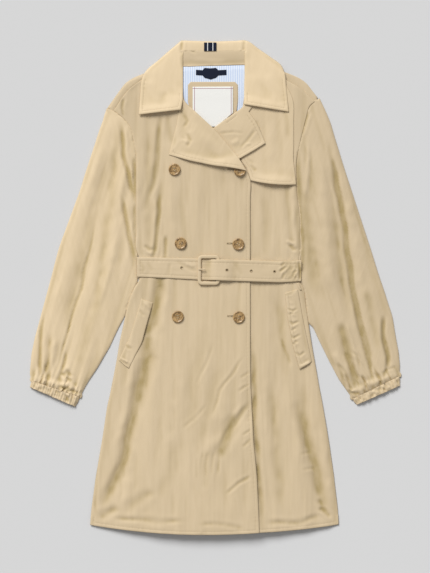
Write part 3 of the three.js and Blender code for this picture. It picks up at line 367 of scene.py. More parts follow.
def surface_map(corners, faces):
    """Height map of faces that look up, and the cells that they cover."""
    heights = np.full(MAP_X.shape, -1e3)
    for face in faces:
        (ax, ay, az), (bx, by, bz), (cx, cy, cz) = corners[face]
        area = (bx - ax) * (cy - ay) - (cx - ax) * (by - ay)
        if abs(area) < 1e-3:
            continue
        columns = slice(*np.searchsorted(COLUMN_X, (min(ax, bx, cx) - 1, max(ax, bx, cx) + 1)))
        rows = slice(*np.searchsorted(ROW_Y, (min(ay, by, cy) - 1, max(ay, by, cy) + 1)))
        x, y = MAP_X[rows, columns], MAP_Y[rows, columns]
        u = ((x - ax) * (cy - ay) - (cx - ax) * (y - ay)) / area
        v = ((bx - ax) * (y - ay) - (x - ax) * (by - ay)) / area
        hit = (u > -0.03) & (v > -0.03) & (u + v < 1.03)
        height = az + u * (bz - az) + v * (cz - az)
        part = heights[rows, columns]
        part[hit] = np.maximum(part[hit], height[hit])
    return heights, heights > -1e2


# Crinkles and folds
def grained_noise(seed, across, lengthways, angle):
    """Waves of seeded noise, and the size of each against the grain."""
    noise = np.random.default_rng(seed).standard_normal(MAP_X.shape)
    turn = math.radians(angle)
    fx = FREQ_X * math.cos(turn) + FREQ_Y * math.sin(turn)
    fy = FREQ_Y * math.cos(turn) - FREQ_X * math.sin(turn)
    return np.fft.rfft2(noise), np.sqrt((fx * across) ** 2 + (fy * lengthways) ** 2)


def crinkle(seed, across, lengthways, angle=0.0):
    """Crinkled field of about unit height, its ridges running up the map, turned by an angle."""
    waves, size = grained_noise(seed, across, lengthways, angle)
    keep = size ** 2 * np.exp(-2.2 * size ** 2)
    field = np.fft.irfft2(waves * keep, MAP_X.shape)
    field /= field.std()
    return 0.8 - np.abs(field)


def ripple(seed, across, lengthways, angle=0.0):
    """Smooth waves of about unit height, drawn out up the map and turned by an angle."""
    waves, size = grained_noise(seed, across, lengthways, angle)
    field = np.fft.irfft2(waves * size * np.exp(-1.3 * size ** 2), MAP_X.shape)
    return field / field.std()


WANDER_X, WANDER_Y = 1.1 * ripple(101, 70, 70), 1.1 * ripple(103, 70, 70)
WAVER = np.clip(1 + 0.15 * ripple(107, 36, 36), 0.5, 1.5)


def wandered(points):
    """Places shifted a little, so that folds drawn through them wander as in real cloth."""
    return points + np.column_stack([sample(WANDER_X, points), sample(WANDER_Y, points)])


def fold_shade(folds, points):
    """Painted shade of each place: how far it lies in a trough of a table of folds, from 0 to 1."""
    shade = np.zeros(len(points))
    moved = wandered(points)
    for line, width, depth, *_ in folds:
        if depth > 0:
            continue
        away, share, _, length = along(moved, line)
        taper = smooth_step(0, 0.2 * length, share) * smooth_step(0, 0.2 * length, length - share)
        dark = min(1, -depth / DARKEST_FOLD) * np.exp(-(away / (0.95 * width)) ** 2)
        shade = np.maximum(shade, dark * taper)
    return np.clip(shade * sample(WAVER, points), 0, 1)


def fold_map(folds, points=None):
    """Heights of a table of folds: a trough or ridge along each line, with a swell on its sides."""
    places = points if points is not None else MAP_PLACES
    total = np.zeros(len(places))
    for line, width, depth, *lean in folds:
        ends = np.asarray(line, float)
        reach = 4.5 * width
        near = np.flatnonzero(
            (places[:, 0] > ends[:, 0].min() - reach) & (places[:, 0] < ends[:, 0].max() + reach)
            & (places[:, 1] > ends[:, 1].min() - reach) & (places[:, 1] < ends[:, 1].max() + reach))
        away, share, side, length = along(wandered(places[near]), ends)
        taper = smooth_step(0, 0.25 * length, share) * smooth_step(0, 0.25 * length, length - share)
        taper *= np.exp(-np.maximum(away - width, 0) / (3 * width))
        spot = away / width
        profile = np.exp(-spot ** 2) - 0.32 * np.exp(-((spot - 2.1) / 0.9) ** 2)
        if lean:
            profile = profile + lean[0] * side * spot * np.exp(-0.5 * spot ** 2)
        total[near] += depth * profile * taper * sample(WAVER, places[near])
    return total.reshape(MAP_X.shape) if points is None else total


# Folds that the photo shows: points from end to end, half width, height (below 0 for a trough),
# and where a number follows, how much higher the side on the left of the line stands
RIGHT_FRONT_FOLDS = [
    ([(-190, 399), (-194, 376), (-192, 357)], 2.6, -3.2),
    ([(-143, -98), (-143, -128), (-139, -157)], 9, -4.2),
    ([(-225, -483), (-136, -489), (-52, -491)], 5, -1.3),
    ([(-40, -495), (21, -497), (69, -504)], 4, -1.0),
    ([(-181, -384), (-187, -436), (-204, -478)], 10, 1.4),
    ([(-84, -321), (-94, -384), (-116, -447)], 12, -1.0),
    ([(15, -153), (-10, -237), (-40, -346)], 12, -1.2),
    ([(-168, -90), (-183, -237), (-216, -384)], 8, 1.6),
    ([(-2, -111), (-19, -163), (-48, -220)], 3, -0.8),
    ([(-25, -346), (-27, -384)], 2, -0.8),
    ([(-15, -342), (-17, -401)], 2, -0.9),
    ([(-4, -342), (-4, -396)], 2, -0.9),
    ([(-36, -354), (-38, -405)], 2, -0.7),
    ([(-117, 368), (-119, 320), (-123, 257), (-132, 215), (-149, 150)], 5.5, -3.4, 0.4),
    ([(-116, 200), (-119, 158), (-124, 112), (-131, 53)], 3.8, -4.2, 0.6),
    ([(-104, 112), (-105, 53)], 3.6, -3.2),
    ([(-136, 334), (-142, 225), (-139, 61)], 8, -1.5),
    ([(-94, 229), (-86, 152), (-82, 53)], 12, 1.2),
    ([(-113, 53), (-116, -6), (-122, -39), (-132, -77), (-155, -115)], 9, -6.0),
    ([(-143, -111), (-139, -149), (-150, -186), (-158, -220), (-166, -262)], 12, -4.6),
    ([(-162, -237), (-173, -279), (-180, -317),
      (-191, -371), (-216, -422), (-237, -464)], 8, -4.4, -0.5),
    ([(-126, -422), (-160, -447), (-193, -470)], 9, -1.2),
    ([(-197, -455), (-227, -474), (-248, -487)], 8, -2.2),
    ([(-248, -321), (-250, -493)], 3.5, -1.2, 0.5),
    ([(63, -140), (35, -180), (9, -216), (-7, -275)], 3.0, -1.2, 0.5),
    ([(-15, -243), (-45, -277), (-69, -298)], 3, -0.8),
    ([(74, -237), (49, -273), (27, -304), (6, -346)], 5, -3.0, 0.5),
    ([(46, -262), (29, -305), (6, -362)], 10, -3.8),
    ([(8, -336), (8, -396)], 2.6, -1.0),
    ([(-17, -338), (-21, -426)], 9, -0.9),
    ([(78, -394), (49, -409), (21, -436)], 3.2, -1.4, 0.4),
    ([(74, -176), (52, -191)], 2.4, -1.2),
    ([(74, -203), (50, -220)], 2.4, -1.3),
    ([(76, -296), (57, -310)], 2.4, -1.2),
    ([(76, -317), (57, -336)], 2.4, -1.2),
    ([(-67, -121), (-82, -258), (-116, -447)], 15, 1.4),
    ([(-17, -69), (-40, -195), (-52, -321)], 13, -1.0),
    ([(23, -226), (0, -279), (-27, -384)], 12, 1.2),
    ([(-151, 87), (-139, 78), (-128, 80)], 3.4, -1.8),
    ([(-145, 74), (-132, 68)], 3, 1.2),
    ([(-103, 372), (-90, 309), (-82, 288)], 7, -0.9),
]
LEFT_FRONT_FOLDS = [
    ([(99, -495), (178, -493), (229, -480)], 5, -1.3),
    ([(216, -464), (233, -474), (246, -485)], 4, -3.0),
    ([(181, -384), (204, -380), (220, -392)], 3, -0.9),
    ([(178, -352), (202, -346), (216, -363)], 3, -0.8),
    ([(139, -105), (149, -136), (160, -168)], 3.4, -2.0, 0.4),
    ([(78, -90), (84, -279), (90, -384), (101, -531)], 5.5, -3.2),
    ([(176, -233), (195, -312), (214, -384), (237, -480)], 9, -3.4, -0.5),
    ([(158, -199), (176, -300), (191, -426)], 12, 1.6),
    ([(214, -443), (239, -478)], 5.5, -2.4),
    ([(134, -21), (143, -100), (151, -195)], 9, -1.6),
    ([(118, -195), (130, -321), (141, -478)], 10, -1.6),
    ([(103, -132), (107, -237), (116, -384)], 9, 1.0),
    ([(103, 204), (109, 137), (107, 53)], 8, -1.4),
    ([(139, 204), (147, 137), (149, 53)], 8, 1.0),
    ([(155, 91), (164, 80), (174, 78)], 3.6, -2.4),
    ([(149, 99), (166, 89)], 3.6, 1.8),
    ([(174, 183), (178, 99), (178, 53)], 5, -1.6),
    ([(220, -279), (233, -363), (248, -457)], 6, 1.2),
]

SLEEVE_RIGHT_FOLDS = [
    ([(-169, 276), (-168, 236), (-167, 177)], 3.4, -5.0),
    ([(-168, 183), (-169, 120), (-168, 53)], 3, -2.2),
    ([(-197, 410), (-193, 385), (-191, 357)], 2.6, -2.4),
    ([(-202, 355), (-210, 284), (-215, 219), (-222, 154), (-232, 87), (-246, 5)], 9, -1.7, 0.3),
    ([(-201, 353), (-189, 271), (-176, 221), (-167, 175)], 4.2, -4.2, -0.5),
    ([(-197, 204), (-185, 135), (-175, 87), (-166, 36)], 4.4, -3.6, -0.4),
    ([(-233, 330), (-248, 225), (-267, 110), (-304, -27)], 13, 1.5),
    ([(-185, 267), (-195, 204), (-200, 152)], 6, 1.4),
    ([(-202, 152), (-216, 53), (-235, -27)], 9, 1.8),
    ([(-250, 183), (-279, 53), (-317, -100)], 12, -1.4),
    ([(-248, 143), (-292, -27), (-338, -199)], 2.4, -2.0, 0.6),
    ([(-225, 78), (-250, -27), (-275, -121), (-296, -195)], 12, -1.4),
    ([(-359, -52), (-365, -121), (-366, -195)], 3.2, -3.4, -0.4),
    ([(-376, -69), (-380, -132), (-382, -186)], 7, 1.2),
    ([(-346, -90), (-349, -153), (-351, -203)], 4, -2.2),
    ([(-334, -100), (-340, -157), (-342, -207)], 5, 1.6),
    ([(-311, -132), (-321, -178), (-330, -212)], 3, -2.6),
    ([(-321, -176), (-315, -186), (-300, -199)], 3, -2.0),
    ([(-355, -157), (-353, -178), (-353, -195)], 2.6, -2.2),
    ([(-319, -186), (-309, -176), (-302, -189)], 4, -2.8),
    ([(-326, -207), (-317, -216), (-304, -212)], 3.4, -3.4),
    ([(-313, -220), (-298, -220), (-286, -226)], 3, -3.4),
    ([(-317, -203), (-307, -203), (-294, -214)], 3, 2.0),
]
SLEEVE_LEFT_FOLDS = [
    ([(262, -69), (273, -117), (288, -165)], 9, -3.8),
    ([(265, -81), (277, -132), (290, -182)], 2.2, 1.3),
    ([(277, -73), (288, -111), (300, -153)], 2.2, 1.1),
    ([(271, -136), (290, -153), (296, -178)], 2.4, -1.8),
    ([(286, -132), (300, -144), (307, -170)], 2.2, -1.8),
    ([(296, -123), (304, -149), (317, -170)], 2.2, 1.2),
    ([(271, -178), (284, -203), (288, -222)], 2.6, -3.4),
    ([(284, -165), (298, -193), (304, -216)], 2.4, -3.4),
    ([(256, -157), (267, -186), (275, -216)], 3.2, -2.6),
    ([(172, 299), (178, 204), (185, 99), (187, 15)], 5.5, -4.2),
    ([(193, 372), (187, 350), (180, 316)], 4.4, -4.6),
    ([(197, 183), (216, 99), (235, 5)], 7, 1.4),
    ([(237, 318), (248, 259), (258, 200), (271, 126), (277, 72),
      (287, 13), (291, -23), (306, -88), (321, -147), (332, -203)], 4.6, -5.6, 0.8),
    ([(250, 176), (260, 99), (271, 15), (284, -69)], 10, -1.5),
    ([(185, 215), (193, 131), (202, 53), (218, -37)], 13, -2.2),
    ([(195, 313), (195, 244), (189, 183)], 3.4, 2.0),
    ([(223, 267), (229, 158), (237, 53), (250, -37)], 12, 2.0),
    ([(262, 267), (288, 131), (313, -6), (330, -90)], 11, 2.4),
    ([(275, -136), (288, -170), (307, -201)], 3.6, -4.0, 0.5),
    ([(351, -56), (354, -109), (363, -147), (365, -180)], 4.6, -4.4, 0.5),
    ([(317, 5), (330, -69), (344, -136)], 8, -1.8),
    ([(284, -153), (290, -182), (296, -212)], 6, -4.4),
    ([(309, -186), (315, -199), (317, -218)], 2.6, -4.0, 0.4),
    ([(317, -136), (330, -178), (336, -207)], 2.6, -3.2, -0.5),
    ([(342, -178), (349, -195), (346, -212)], 2.4, -2.6),
    ([(279, -216), (292, -222), (307, -222)], 2.4, -3.0),
    ([(273, -207), (288, -216), (302, -214)], 2.4, 2.0),
    ([(351, -182), (363, -172), (380, -168)], 2.4, -1.8),
    ([(256, -157), (273, -178), (288, -203)], 3, -2.0),
    ([(355, -191), (361, -174), (365, -157)], 3, -2.0),
    ([(181, 385), (172, 330), (164, 267)], 4, -1.8),
    ([(248, -132), (265, -165), (279, -195)], 8, 1.6),
]
LAPEL_RIGHT_FOLDS = [
    ([(-59, 324), (-50, 307), (-57, 292)], 3, -1.2),
    ([(-71, 309), (-48, 301)], 3, 0.8),
    ([(-69, 368), (-59, 351), (-65, 334)], 3, -1.0),
    ([(-40, 330), (-6, 301), (23, 271)], 9, 0.9),
]
LAPEL_LEFT_FOLDS = [
    ([(55, 292), (69, 311), (88, 336)], 3.2, -1.2),
    ([(6, 324), (36, 325), (63, 323)], 2.2, -0.7),
    ([(57, 288), (65, 301), (80, 301)], 2.6, 0.8),
    ([(34, 301), (52, 311)], 5, 0.9),
]
STORM_FLAP_FOLDS = [
    ([(109, 381), (118, 320), (116, 250)], 9, 1.0),
    ([(141, 418), (149, 360), (158, 301)], 5, -1.3),
    ([(84, 351), (97, 330)], 4, -0.9),
    ([(74, 255), (86, 242)], 3, -1.2),
    ([(65, 271), (82, 257)], 2.6, -1.0),
]
COLLAR_FOLDS = [
    ([(-68, 528), (-66, 486), (-67, 448)], 3.2, -2.0),
    ([(63, 528), (62, 486), (63, 448)], 3.2, -1.9),
    ([(-61, 523), (0, 521), (59, 523)], 3, -0.6),
    ([(-141, 439), (-120, 410), (-111, 385)], 10, 0.8),
    ([(109, 450), (126, 414), (128, 385)], 10, 0.8),
    ([(-97, 406), (-116, 395)], 7, -0.5),
]
STAND_FOLDS = [
    ([(-55, 507), (-46, 498), (-38, 490)], 2.4, -1.2),
    ([(27, 509), (48, 502), (57, 494)], 3, -0.7),
    ([(-61, 509), (0, 510), (61, 509)], 2.2, -0.8),
    ([(-48, 476), (-10, 474), (30, 478)], 5, 0.5),
]
BELT_FOLDS = [
    ([(138, 43), (148, 53)], 2.6, -2.4),
    ([(135, 31), (149, 45)], 2.4, -2.8),
    ([(141, 15), (146, 30)], 2.4, -2.2),
    ([(158, 36), (164, 46)], 2.8, -2.2),
    ([(161, 17), (165, 31), (173, 38)], 2.2, -2.8),
    ([(166, 13), (171, 26)], 1.8, -2.8),
    ([(170, 57), (173, 38)], 2.2, -2.6),
    ([(177, 57), (180, 36), (178, 13)], 3.4, -4.4),
    ([(145, 30), (153, 41), (158, 51)], 2.2, 1.0),
    ([(151, 15), (155, 26)], 2.2, 1.0),
    ([(153, 63), (160, 34), (158, 7)], 13, -1.5),
    ([(-160, 59), (-151, 40), (-158, 26)], 4, -1.2),
    ([(-82, 57), (-61, 45), (-34, 34)], 3.6, -1.0),
    ([(-61, 51), (-42, 42)], 3, 0.8),
    ([(-141, 55), (-130, 32)], 4, -0.9),
    ([(-94, 53), (-99, 24)], 3, -0.8),
    ([(44, 53), (57, 24)], 4, -0.7),
]
WELT_FOLDS = [
    ([(145, -18), (160, -12), (170, -6)], 2.4, -1.6),
    ([(149, -44), (162, -50), (172, -42)], 2.2, -1.9),
    ([(151, -60), (164, -54)], 2.0, -1.4),
    ([(153, -73), (164, -79), (178, -71)], 2.4, -1.9),
    ([(160, -92), (172, -86)], 2.0, -1.6),
    ([(155, -98), (168, -107), (183, -98)], 2.4, -1.9),
    ([(164, -121), (176, -113)], 2.2, -1.4),
    ([(166, -136), (178, -144), (189, -136)], 2.2, -1.3),
    ([(153, -52), (170, -63)], 2.6, 0.8),
    ([(158, -86), (176, -77)], 2.6, 0.7),
    ([(162, -113), (178, -123)], 2.6, 0.7),
    ([(149, -27), (166, -33)], 2.6, 0.6),
    ([(-197, -115), (-176, -130)], 2.6, -1.8),
    ([(-202, -151), (-181, -165)], 2.6, -1.6),
    ([(-204, -144), (-181, -159)], 2.2, 1.4),
    ([(-160, -48), (-147, -63)], 3, -1.2),
    ([(-151, -27), (-132, -48)], 3.4, 1.2),
    ([(176, -168), (204, -155)], 3.4, 2.4),
]

# Side of each welt that merges with the coat, and where its stitches run
WELT_SIDES = {
    "right": [(-203, -154), (-180, -106), (-166, -62), (-155, -24), (-130, -33)],
    "left": [(204, -157), (196, -120), (186, -71), (174, -4)],
}
WELT_STITCHES = {
    "right": lambda x, y: y < -158,
    "left": lambda x, y: x < 172 + 0.14 * (-y - 10),
}

BELT_HOLES = [(-70, 41), (25, 36), (76, 34), (125, 33)]
BELT_HOLE_RADIUS, EYELET_RADIUS = 2.0, 3.6
EYELET_BARS = 16
BUTTONHOLES = [(33, 248), (31, 92), (32, -60.5)]
BUTTONHOLE_SIZE = (12.5, 1.5)
BUTTONHOLE_STEP = 0.75         # distance between the threads of its edge
THREAD_SHOWN = 0.74            # share of a stitch's length that shows as thread
THREAD_HALF = 0.42             # half the width of a stitch
DISH, DISH_LEVEL = 0.68, 0.72  # of a button: shares of its radius and its thickness
HOLE_PLACE = 0.2               # of a button's four holes: share of its radius along X and Y
CUFF_ENDS = {
    "cuff_right": [((-386, -196), (-283, -230)), ((-390, -211), (-293, -252))],
    "cuff_left": [((288, -234), (389, -186)), ((298, -248), (390, -207))],
}


class Pile:
    """The cloth laid so far: the height of its top over each cell of the map."""

    def __init__(self):
        self.top = np.zeros(MAP_X.shape)
        self.heights = {}
        self.borders = {}

    def lay(self, name, loop, form, wall, soften=3.0):
        """Lays a layer over what is there: its top follows the form where nothing lifts it."""
        mask = mask_of(loop)
        near = mask_of(loop, 2.5)
        lowest = self.top + LAYER_GAP + wall
        lift = np.where(near, np.maximum(lowest - form, 0.0), 0.0)
        for _ in range(3):
            lift = np.where(near, np.maximum(spread(lift, near, soften), lowest - form), 0.0)
        height = np.where(near, form + lift, 0.0)
        height = np.where(near, height, spread(height, near, soften))
        self.top = np.where(mask, np.maximum(self.top, height), self.top)
        self.heights[name] = height
        self.borders[name] = rounded(loop, 3)
        return height


pile = Pile()


class Outline:
    """Border of a cloth piece, with how far places lie inside it and where along it."""

    def __init__(self, loop, step, sewn=None, folded=None, corner=38.0):
        self.border = rounded(turned_left(loop), step, corner)
        ends = np.roll(self.border, -1, axis=0)
        shares = (np.arange(BORDER_PARTS) / BORDER_PARTS)[None, :, None]
        self.dense = (self.border[:, None] * (1 - shares) + ends[:, None] * shares).reshape(-1, 2)
        lengths = np.hypot(*(np.roll(self.dense, -1, axis=0) - self.dense).T)
        self.way = np.concatenate([[0], np.cumsum(lengths)[:-1]])
        self.sewn = sewn(*self.dense.T) if sewn else np.zeros(len(self.dense), bool)
        self.folded = folded(*self.dense.T) if folded else np.zeros(len(self.dense), bool)
        self.tree = KDTree(len(self.dense))
        for index, (x, y) in enumerate(self.dense):
            self.tree.insert((x, y, 0), index)
        self.tree.balance()

    def nearest(self, points):
        """Distance of each place to the border, and the border place nearest to it."""
        found = [self.tree.find((x, y, 0)) for x, y in points]
        return np.array([item[2] for item in found]), np.array([item[1] for item in found])

    def ring(self, offset, flags):
        """Places at one distance inside the parts of the border that a flag picks."""
        picked = flags[::BORDER_PARTS]
        points = (self.border - offset * outward_of(self.border))[picked]
        if len(points) == 0:
            return points
        away, _ = self.nearest(points)
        return points[(away > offset - 0.15) & inside(self.border, *points.T)]


def cut_size(loop):
    """Sides and area, in metres, of the smallest rectangle of cloth that an outline is cut from."""
    best = None
    for degrees in range(0, 90, 3):
        cos, sin = math.cos(math.radians(degrees)), math.sin(math.radians(degrees))
        turned = loop @ np.array([[cos, -sin], [sin, cos]])
        size = turned.max(0) - turned.min(0)
        if best is None or size.prod() < best.prod():
            best = size
    sides = (max(best.min() * MM, NARROWEST_CUT), best.max() * MM)
    return sides, abs(signed_area(loop)) * MM * MM


def ring_edges(rings):
    """Edges round outlines whose points follow each other, and how many points they hold."""
    edges, start = [], 0
    for ring in rings:
        count = len(ring)
        edges += [(start + k, start + (k + 1) % count) for k in range(count)]
        start += count
    return edges, start


def triangulated(points, edges, nearness):
    """Places, triangles and the origin of each place, of points joined up round their edges."""
    places, _, faces, origins, *_ = delaunay_2d_cdt(
        [Vector(point) for point in points], edges, [], 0, nearness)
    triangles = np.array([face for face in faces if len(face) == 3])
    return np.array([tuple(place) for place in places]), triangles, origins


def fill(outline, pitch, holes=(), coarse=None):
    """Places and triangles that fill an outline evenly, with close rows along its sewn edges."""
    inset = sizes().stitch_inset / MM
    rows = [outline.ring(EDGE_ROW, ~outline.sewn)]
    rows += [outline.ring(offset, outline.sewn)
             for offset in (*SEWN_ROWS, inset - STITCH_ROW, inset, inset + STITCH_ROW)]
    low, high = outline.border.min(0), outline.border.max(0)
    rise = pitch * 0.866
    x, y = np.meshgrid(np.arange(low[0], high[0], pitch), np.arange(low[1], high[1], rise))
    x = x + (np.arange(len(x)) % 2)[:, None] * pitch / 2
    lattice = np.column_stack([x.ravel(), y.ravel()])
    lattice = lattice[inside(outline.border, *lattice.T)]
    if coarse is not None:
        column = np.round((lattice[:, 0] - low[0]) / (pitch / 2)).astype(int) // 2
        row = np.round((lattice[:, 1] - low[1]) / rise).astype(int)
        lattice = lattice[~coarse(*lattice.T) | ((column % 3 == 0) & (row % 3 == 0))]
    away, place = outline.nearest(lattice)
    limit = np.where(outline.sewn[place], inset + STITCH_ROW, EDGE_ROW) + 0.55 * pitch
    rows.append(lattice[away > limit])
    points = np.vstack([outline.border, *holes, *rows])
    edges, start = ring_edges([outline.border, *holes])
    keep = np.ones(len(points), bool)
    for hole in holes:
        centre = hole.mean(0)
        keep &= np.hypot(*(points - centre).T) > np.hypot(*(hole[0] - centre)) + 0.35
    keep[:start] = True
    places, triangles, origins = triangulated(points[keep], edges, 1e-4)
    on_rim = np.array([not origin or min(origin) < start for origin in origins])
    doubtful = on_rim[triangles].all(1)
    centres = places[triangles].mean(1)
    good = np.ones(len(triangles), bool)
    good[doubtful] = inside(outline.border, *centres[doubtful].T)
    for hole in holes:
        good[doubtful] &= ~inside(hole, *centres[doubtful].T)
    return places, triangles[good]


def edge_relief(outline, points, edge_drop=0.35, fold_radius=4.0, fold_drop=0.0):
    """Height that a border adds: rounded, swelling up to its stitches, puckered along them."""
    inset = sizes().stitch_inset / MM
    away, place = outline.nearest(points)
    sewn, folded = outline.sewn[place], outline.folded[place]
    way = outline.way[place]
    pucker = np.sin(way / 1.35 + 2.1 * np.sin(way / 17)) * np.sin(way / 23 + 1) ** 2
    swell = SWELL * np.sin(math.pi * np.clip(away / inset, 0, 1)) ** 0.7
    groove = -GROOVE * np.exp(-((away - inset) / EDGE_SOFTNESS) ** 2)
    crimp = CRIMP * pucker * np.exp(-np.abs(away - inset) / 3.5)
    relief = np.where(sewn, swell + groove + crimp, 0.0)
    relief -= edge_drop * np.exp(-away / EDGE_SOFTNESS)
    share = np.clip(away / fold_radius, 0, 1)
    bend = fold_drop * (1 - np.sqrt(1 - (1 - share) ** 2))
    return relief - np.where(folded, bend, 0.0), away


def painted_dip_shade(height, mask):
    """Painted shade of each cell: how deep it lies in a fold, from 0 to 1."""
    below = spread(height, mask, 9.0) - height
    return np.clip(below / 2.0 - 0.04, 0, 1)


def add_mesh(name, corners, faces, finish, slot, wall=None, hollow=None, smooth_angle=50.0):
    """Object of a mesh in millimetres, riding on the coat's one body."""
    mesh = bpy.data.meshes.new(name)
    corners = np.asarray(corners, float) * MM
    mesh.from_pydata(corners.tolist(), [], [list(map(int, face)) for face in faces])
    mesh.validate()
    mesh.polygons.foreach_set("use_smooth", [True] * len(mesh.polygons))
    mesh.set_sharp_from_angle(angle=math.radians(smooth_angle))
    # painted shade: per-vertex share of the fold shade colour, which the cloth material mixes in
    if hollow is not None:
        layer = mesh.attributes.new("hollow", "FLOAT", "POINT")
        layer.data.foreach_set("value", np.asarray(hollow, np.float32))
    mesh.materials.append(material(finish))
    piece = bpy.data.objects.new(name, mesh)
    bpy.context.scene.collection.objects.link(piece)
    if wall:
        solidify = piece.modifiers.new("cloth_wall", "SOLIDIFY")
        solidify.thickness = wall * MM
        solidify.offset = -1
    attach(piece, "root")
    return piece


# One filled outline with its heights, ready to be joined to others of the same piece
Sheet = namedtuple("Sheet", "outline points triangles z hollow seam")


def beside(loop, others, reach, stop=None):
    """Outline grown where it runs along others, to lie under them; less towards a stop along Y."""
    loop = turned_left(loop)
    near = np.min([along(loop, np.vstack([other, other[:1]]))[0] for other in others], axis=0)
    reach = reach * smooth_step(9.0, 4.0, near)
    if stop is not None:
        reach = reach * (0.3 + 0.7 * smooth_step(stop, stop - 6, loop[:, 1]))
    return loop + reach[:, None] * outward_of(loop)


def tucked(points, z, covers):
    """Heights kept a depth below the pieces that cover some of the places."""
    for border, height, depth in covers:
        level = sample(height, points)
        below = level - sample(depth + 0 * MAP_X, points)
        hidden = inside(border, *points.T) & (level > LOWEST_COVER)
        z = np.where(hidden, np.minimum(z, below), z)
    return z


def flare(line, reach, height):
    """Lift of a free edge that stands off the cloth below it, most at the line's middle."""
    away, share, length = map_along(line)
    rise = 0.45 + 0.55 * np.sin(math.pi * share / length)
    return height * rise * np.exp(-(away / reach) ** 2)


def make_sheet(outline, height, pitch, holes=(), coarse=None, folds=(), covers=(), **edge):
    """Fills an outline at the heights of a map, with its border, its folds and what covers it."""
    points, triangles = fill(outline, pitch, holes, coarse)
    relief, away = edge_relief(outline, points, **edge)
    mask = mask_of(outline.border)
    # painted shade: darker where the cloth dips below its surroundings and in the troughs of the folds
    shade = sample(painted_dip_shade(height, mask), points) * smooth_step(0, 6, away)
    shade = np.maximum(shade, fold_shade(folds, points))
    z = tucked(points, sample(height, points) + relief, covers)
    return Sheet(outline, points, triangles, z, shade, (outline, height, edge))


SEAMS = []                     # outline, height map and edge settings of every top-stitched layer


def add_sheets(node, sheets, finish, slot, wall=None):
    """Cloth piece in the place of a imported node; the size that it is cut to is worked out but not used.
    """
    wall = wall if wall is not None else sizes().wall / MM
    corners, faces, start = [], [], 0
    for part in sheets:
        corners.append(np.column_stack([part.points, part.z]))
        faces.append(part.triangles + start)
        start += len(part.points)
    hollow = np.concatenate([part.hollow for part in sheets])
    piece = add_mesh(
        f"{node}_cloth", np.vstack(corners), np.vstack(faces), finish, slot, wall, hollow)
    SEAMS.extend(part.seam for part in sheets if part.outline.sewn.any())
    size, area = cut_size(sheets[0].outline.border)
    extra = sum(abs(signed_area(part.outline.border)) for part in sheets[1:]) * MM * MM
    size = (size[0] * (1 + extra / area), size[1])
    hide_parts(node)


def sew_on(node, outline, height, pitch, finish, slot, rests_on, held="laid", wall=None, **edge):
    """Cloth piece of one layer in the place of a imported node."""
    sheet = make_sheet(outline, height, pitch, **edge)
    add_sheets(node, [sheet], finish, slot, wall)


def add_tube(name, nodes, outline, top, pitch, finish, slot, side_radius=5.0, folds=(),
             covers=()):
    """Flattened tube of cloth: two layers that meet in a rounded fold along both sides."""
    points, triangles = fill(outline, pitch)
    away, place = outline.nearest(points)
    folded = outline.folded[place]
    share = np.where(folded, np.clip(away / side_radius, 0, 1), 1.0)
    bend = np.sqrt(np.clip(1 - (1 - share) ** 2, 0, 1))
    upper = sample(top, points)
    middle = TUBE_SIDE * upper
    over = tucked(points, middle + (upper - middle) * bend, covers)
    under = np.minimum(middle * (1 - bend), np.maximum(over - TUBE_AIR, 0))
    shared = folded & (away < 1e-3)
    count = len(points)
    lower_index = np.where(shared, np.arange(count), count + np.cumsum(~shared) - 1)
    corners = np.vstack([
        np.column_stack([points, over]), np.column_stack([points, under])[~shared]])
    faces = np.vstack([triangles, lower_index[triangles][:, ::-1]])
    # painted shade of the upper layer: darker in dips and in the troughs of the folds
    shade = sample(painted_dip_shade(top, mask_of(outline.border)), points) * smooth_step(0, 8, away)
    shade = np.maximum(shade, fold_shade(folds, points))
    hollow = np.concatenate([shade, np.zeros(int((~shared).sum()))])
    piece = add_mesh(name, corners, faces, finish, slot, sizes().wall / MM, hollow)
    size, area = cut_size(outline.border)
    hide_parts(*nodes)


# Materials
def node_tree(name):
    """New material with its node tree and its shader."""
    material = bpy.data.materials.new(name)
    material.use_nodes = True
    tree = material.node_tree
    return material, tree, tree.nodes["Principled BSDF"]


def texture(tree, kind, places, **inputs):
    """Output of a noise or wave texture drawn over places on the piece."""
    node = tree.nodes.new(f"ShaderNodeTex{kind}")
    for key, value in inputs.items():
        if hasattr(node, key):
            setattr(node, key, value)
        else:
            node.inputs[key].default_value = value
    tree.links.new(places, node.inputs["Vector"])
    return node.outputs["Fac"]


def coordinates(tree, angle=0.0, stretch=1.0):
    """Places on the piece in metres, turned by an angle and drawn out along it."""
    place = tree.nodes.new("ShaderNodeTexCoord")
    turn = tree.nodes.new("ShaderNodeMapping")
    turn.inputs["Rotation"].default_value = (0, 0, math.radians(angle))
    squeeze = tree.nodes.new("ShaderNodeMapping")
    squeeze.inputs["Scale"].default_value = (1, 1 / stretch, 1)
    tree.links.new(place.outputs["Object"], turn.inputs["Vector"])
    tree.links.new(turn.outputs["Vector"], squeeze.inputs["Vector"])
    return squeeze.outputs["Vector"]


def mixed(tree, share, low, high):
    """Colour between two colours or sockets."""
    node = tree.nodes.new("ShaderNodeMix")
    node.data_type = "RGBA"
    for socket, value in ((node.inputs[0], share), (node.inputs[6], low), (node.inputs[7], high)):
        if isinstance(value, bpy.types.NodeSocket):
            tree.links.new(value, socket)
        elif isinstance(value, (int, float)):
            socket.default_value = value
        else:
            socket.default_value = (*value[:3], 1)
    return node.outputs[2]


def ranged(tree, value, low, high, to_low, to_high):
    """Value carried from one range to another."""
    node = tree.nodes.new("ShaderNodeMapRange")
    tree.links.new(value, node.inputs["Value"])
    sockets = {"From Min": low, "From Max": high, "To Min": to_low, "To Max": to_high}
    for socket, number in sockets.items():
        node.inputs[socket].default_value = number
    return node.outputs["Result"]


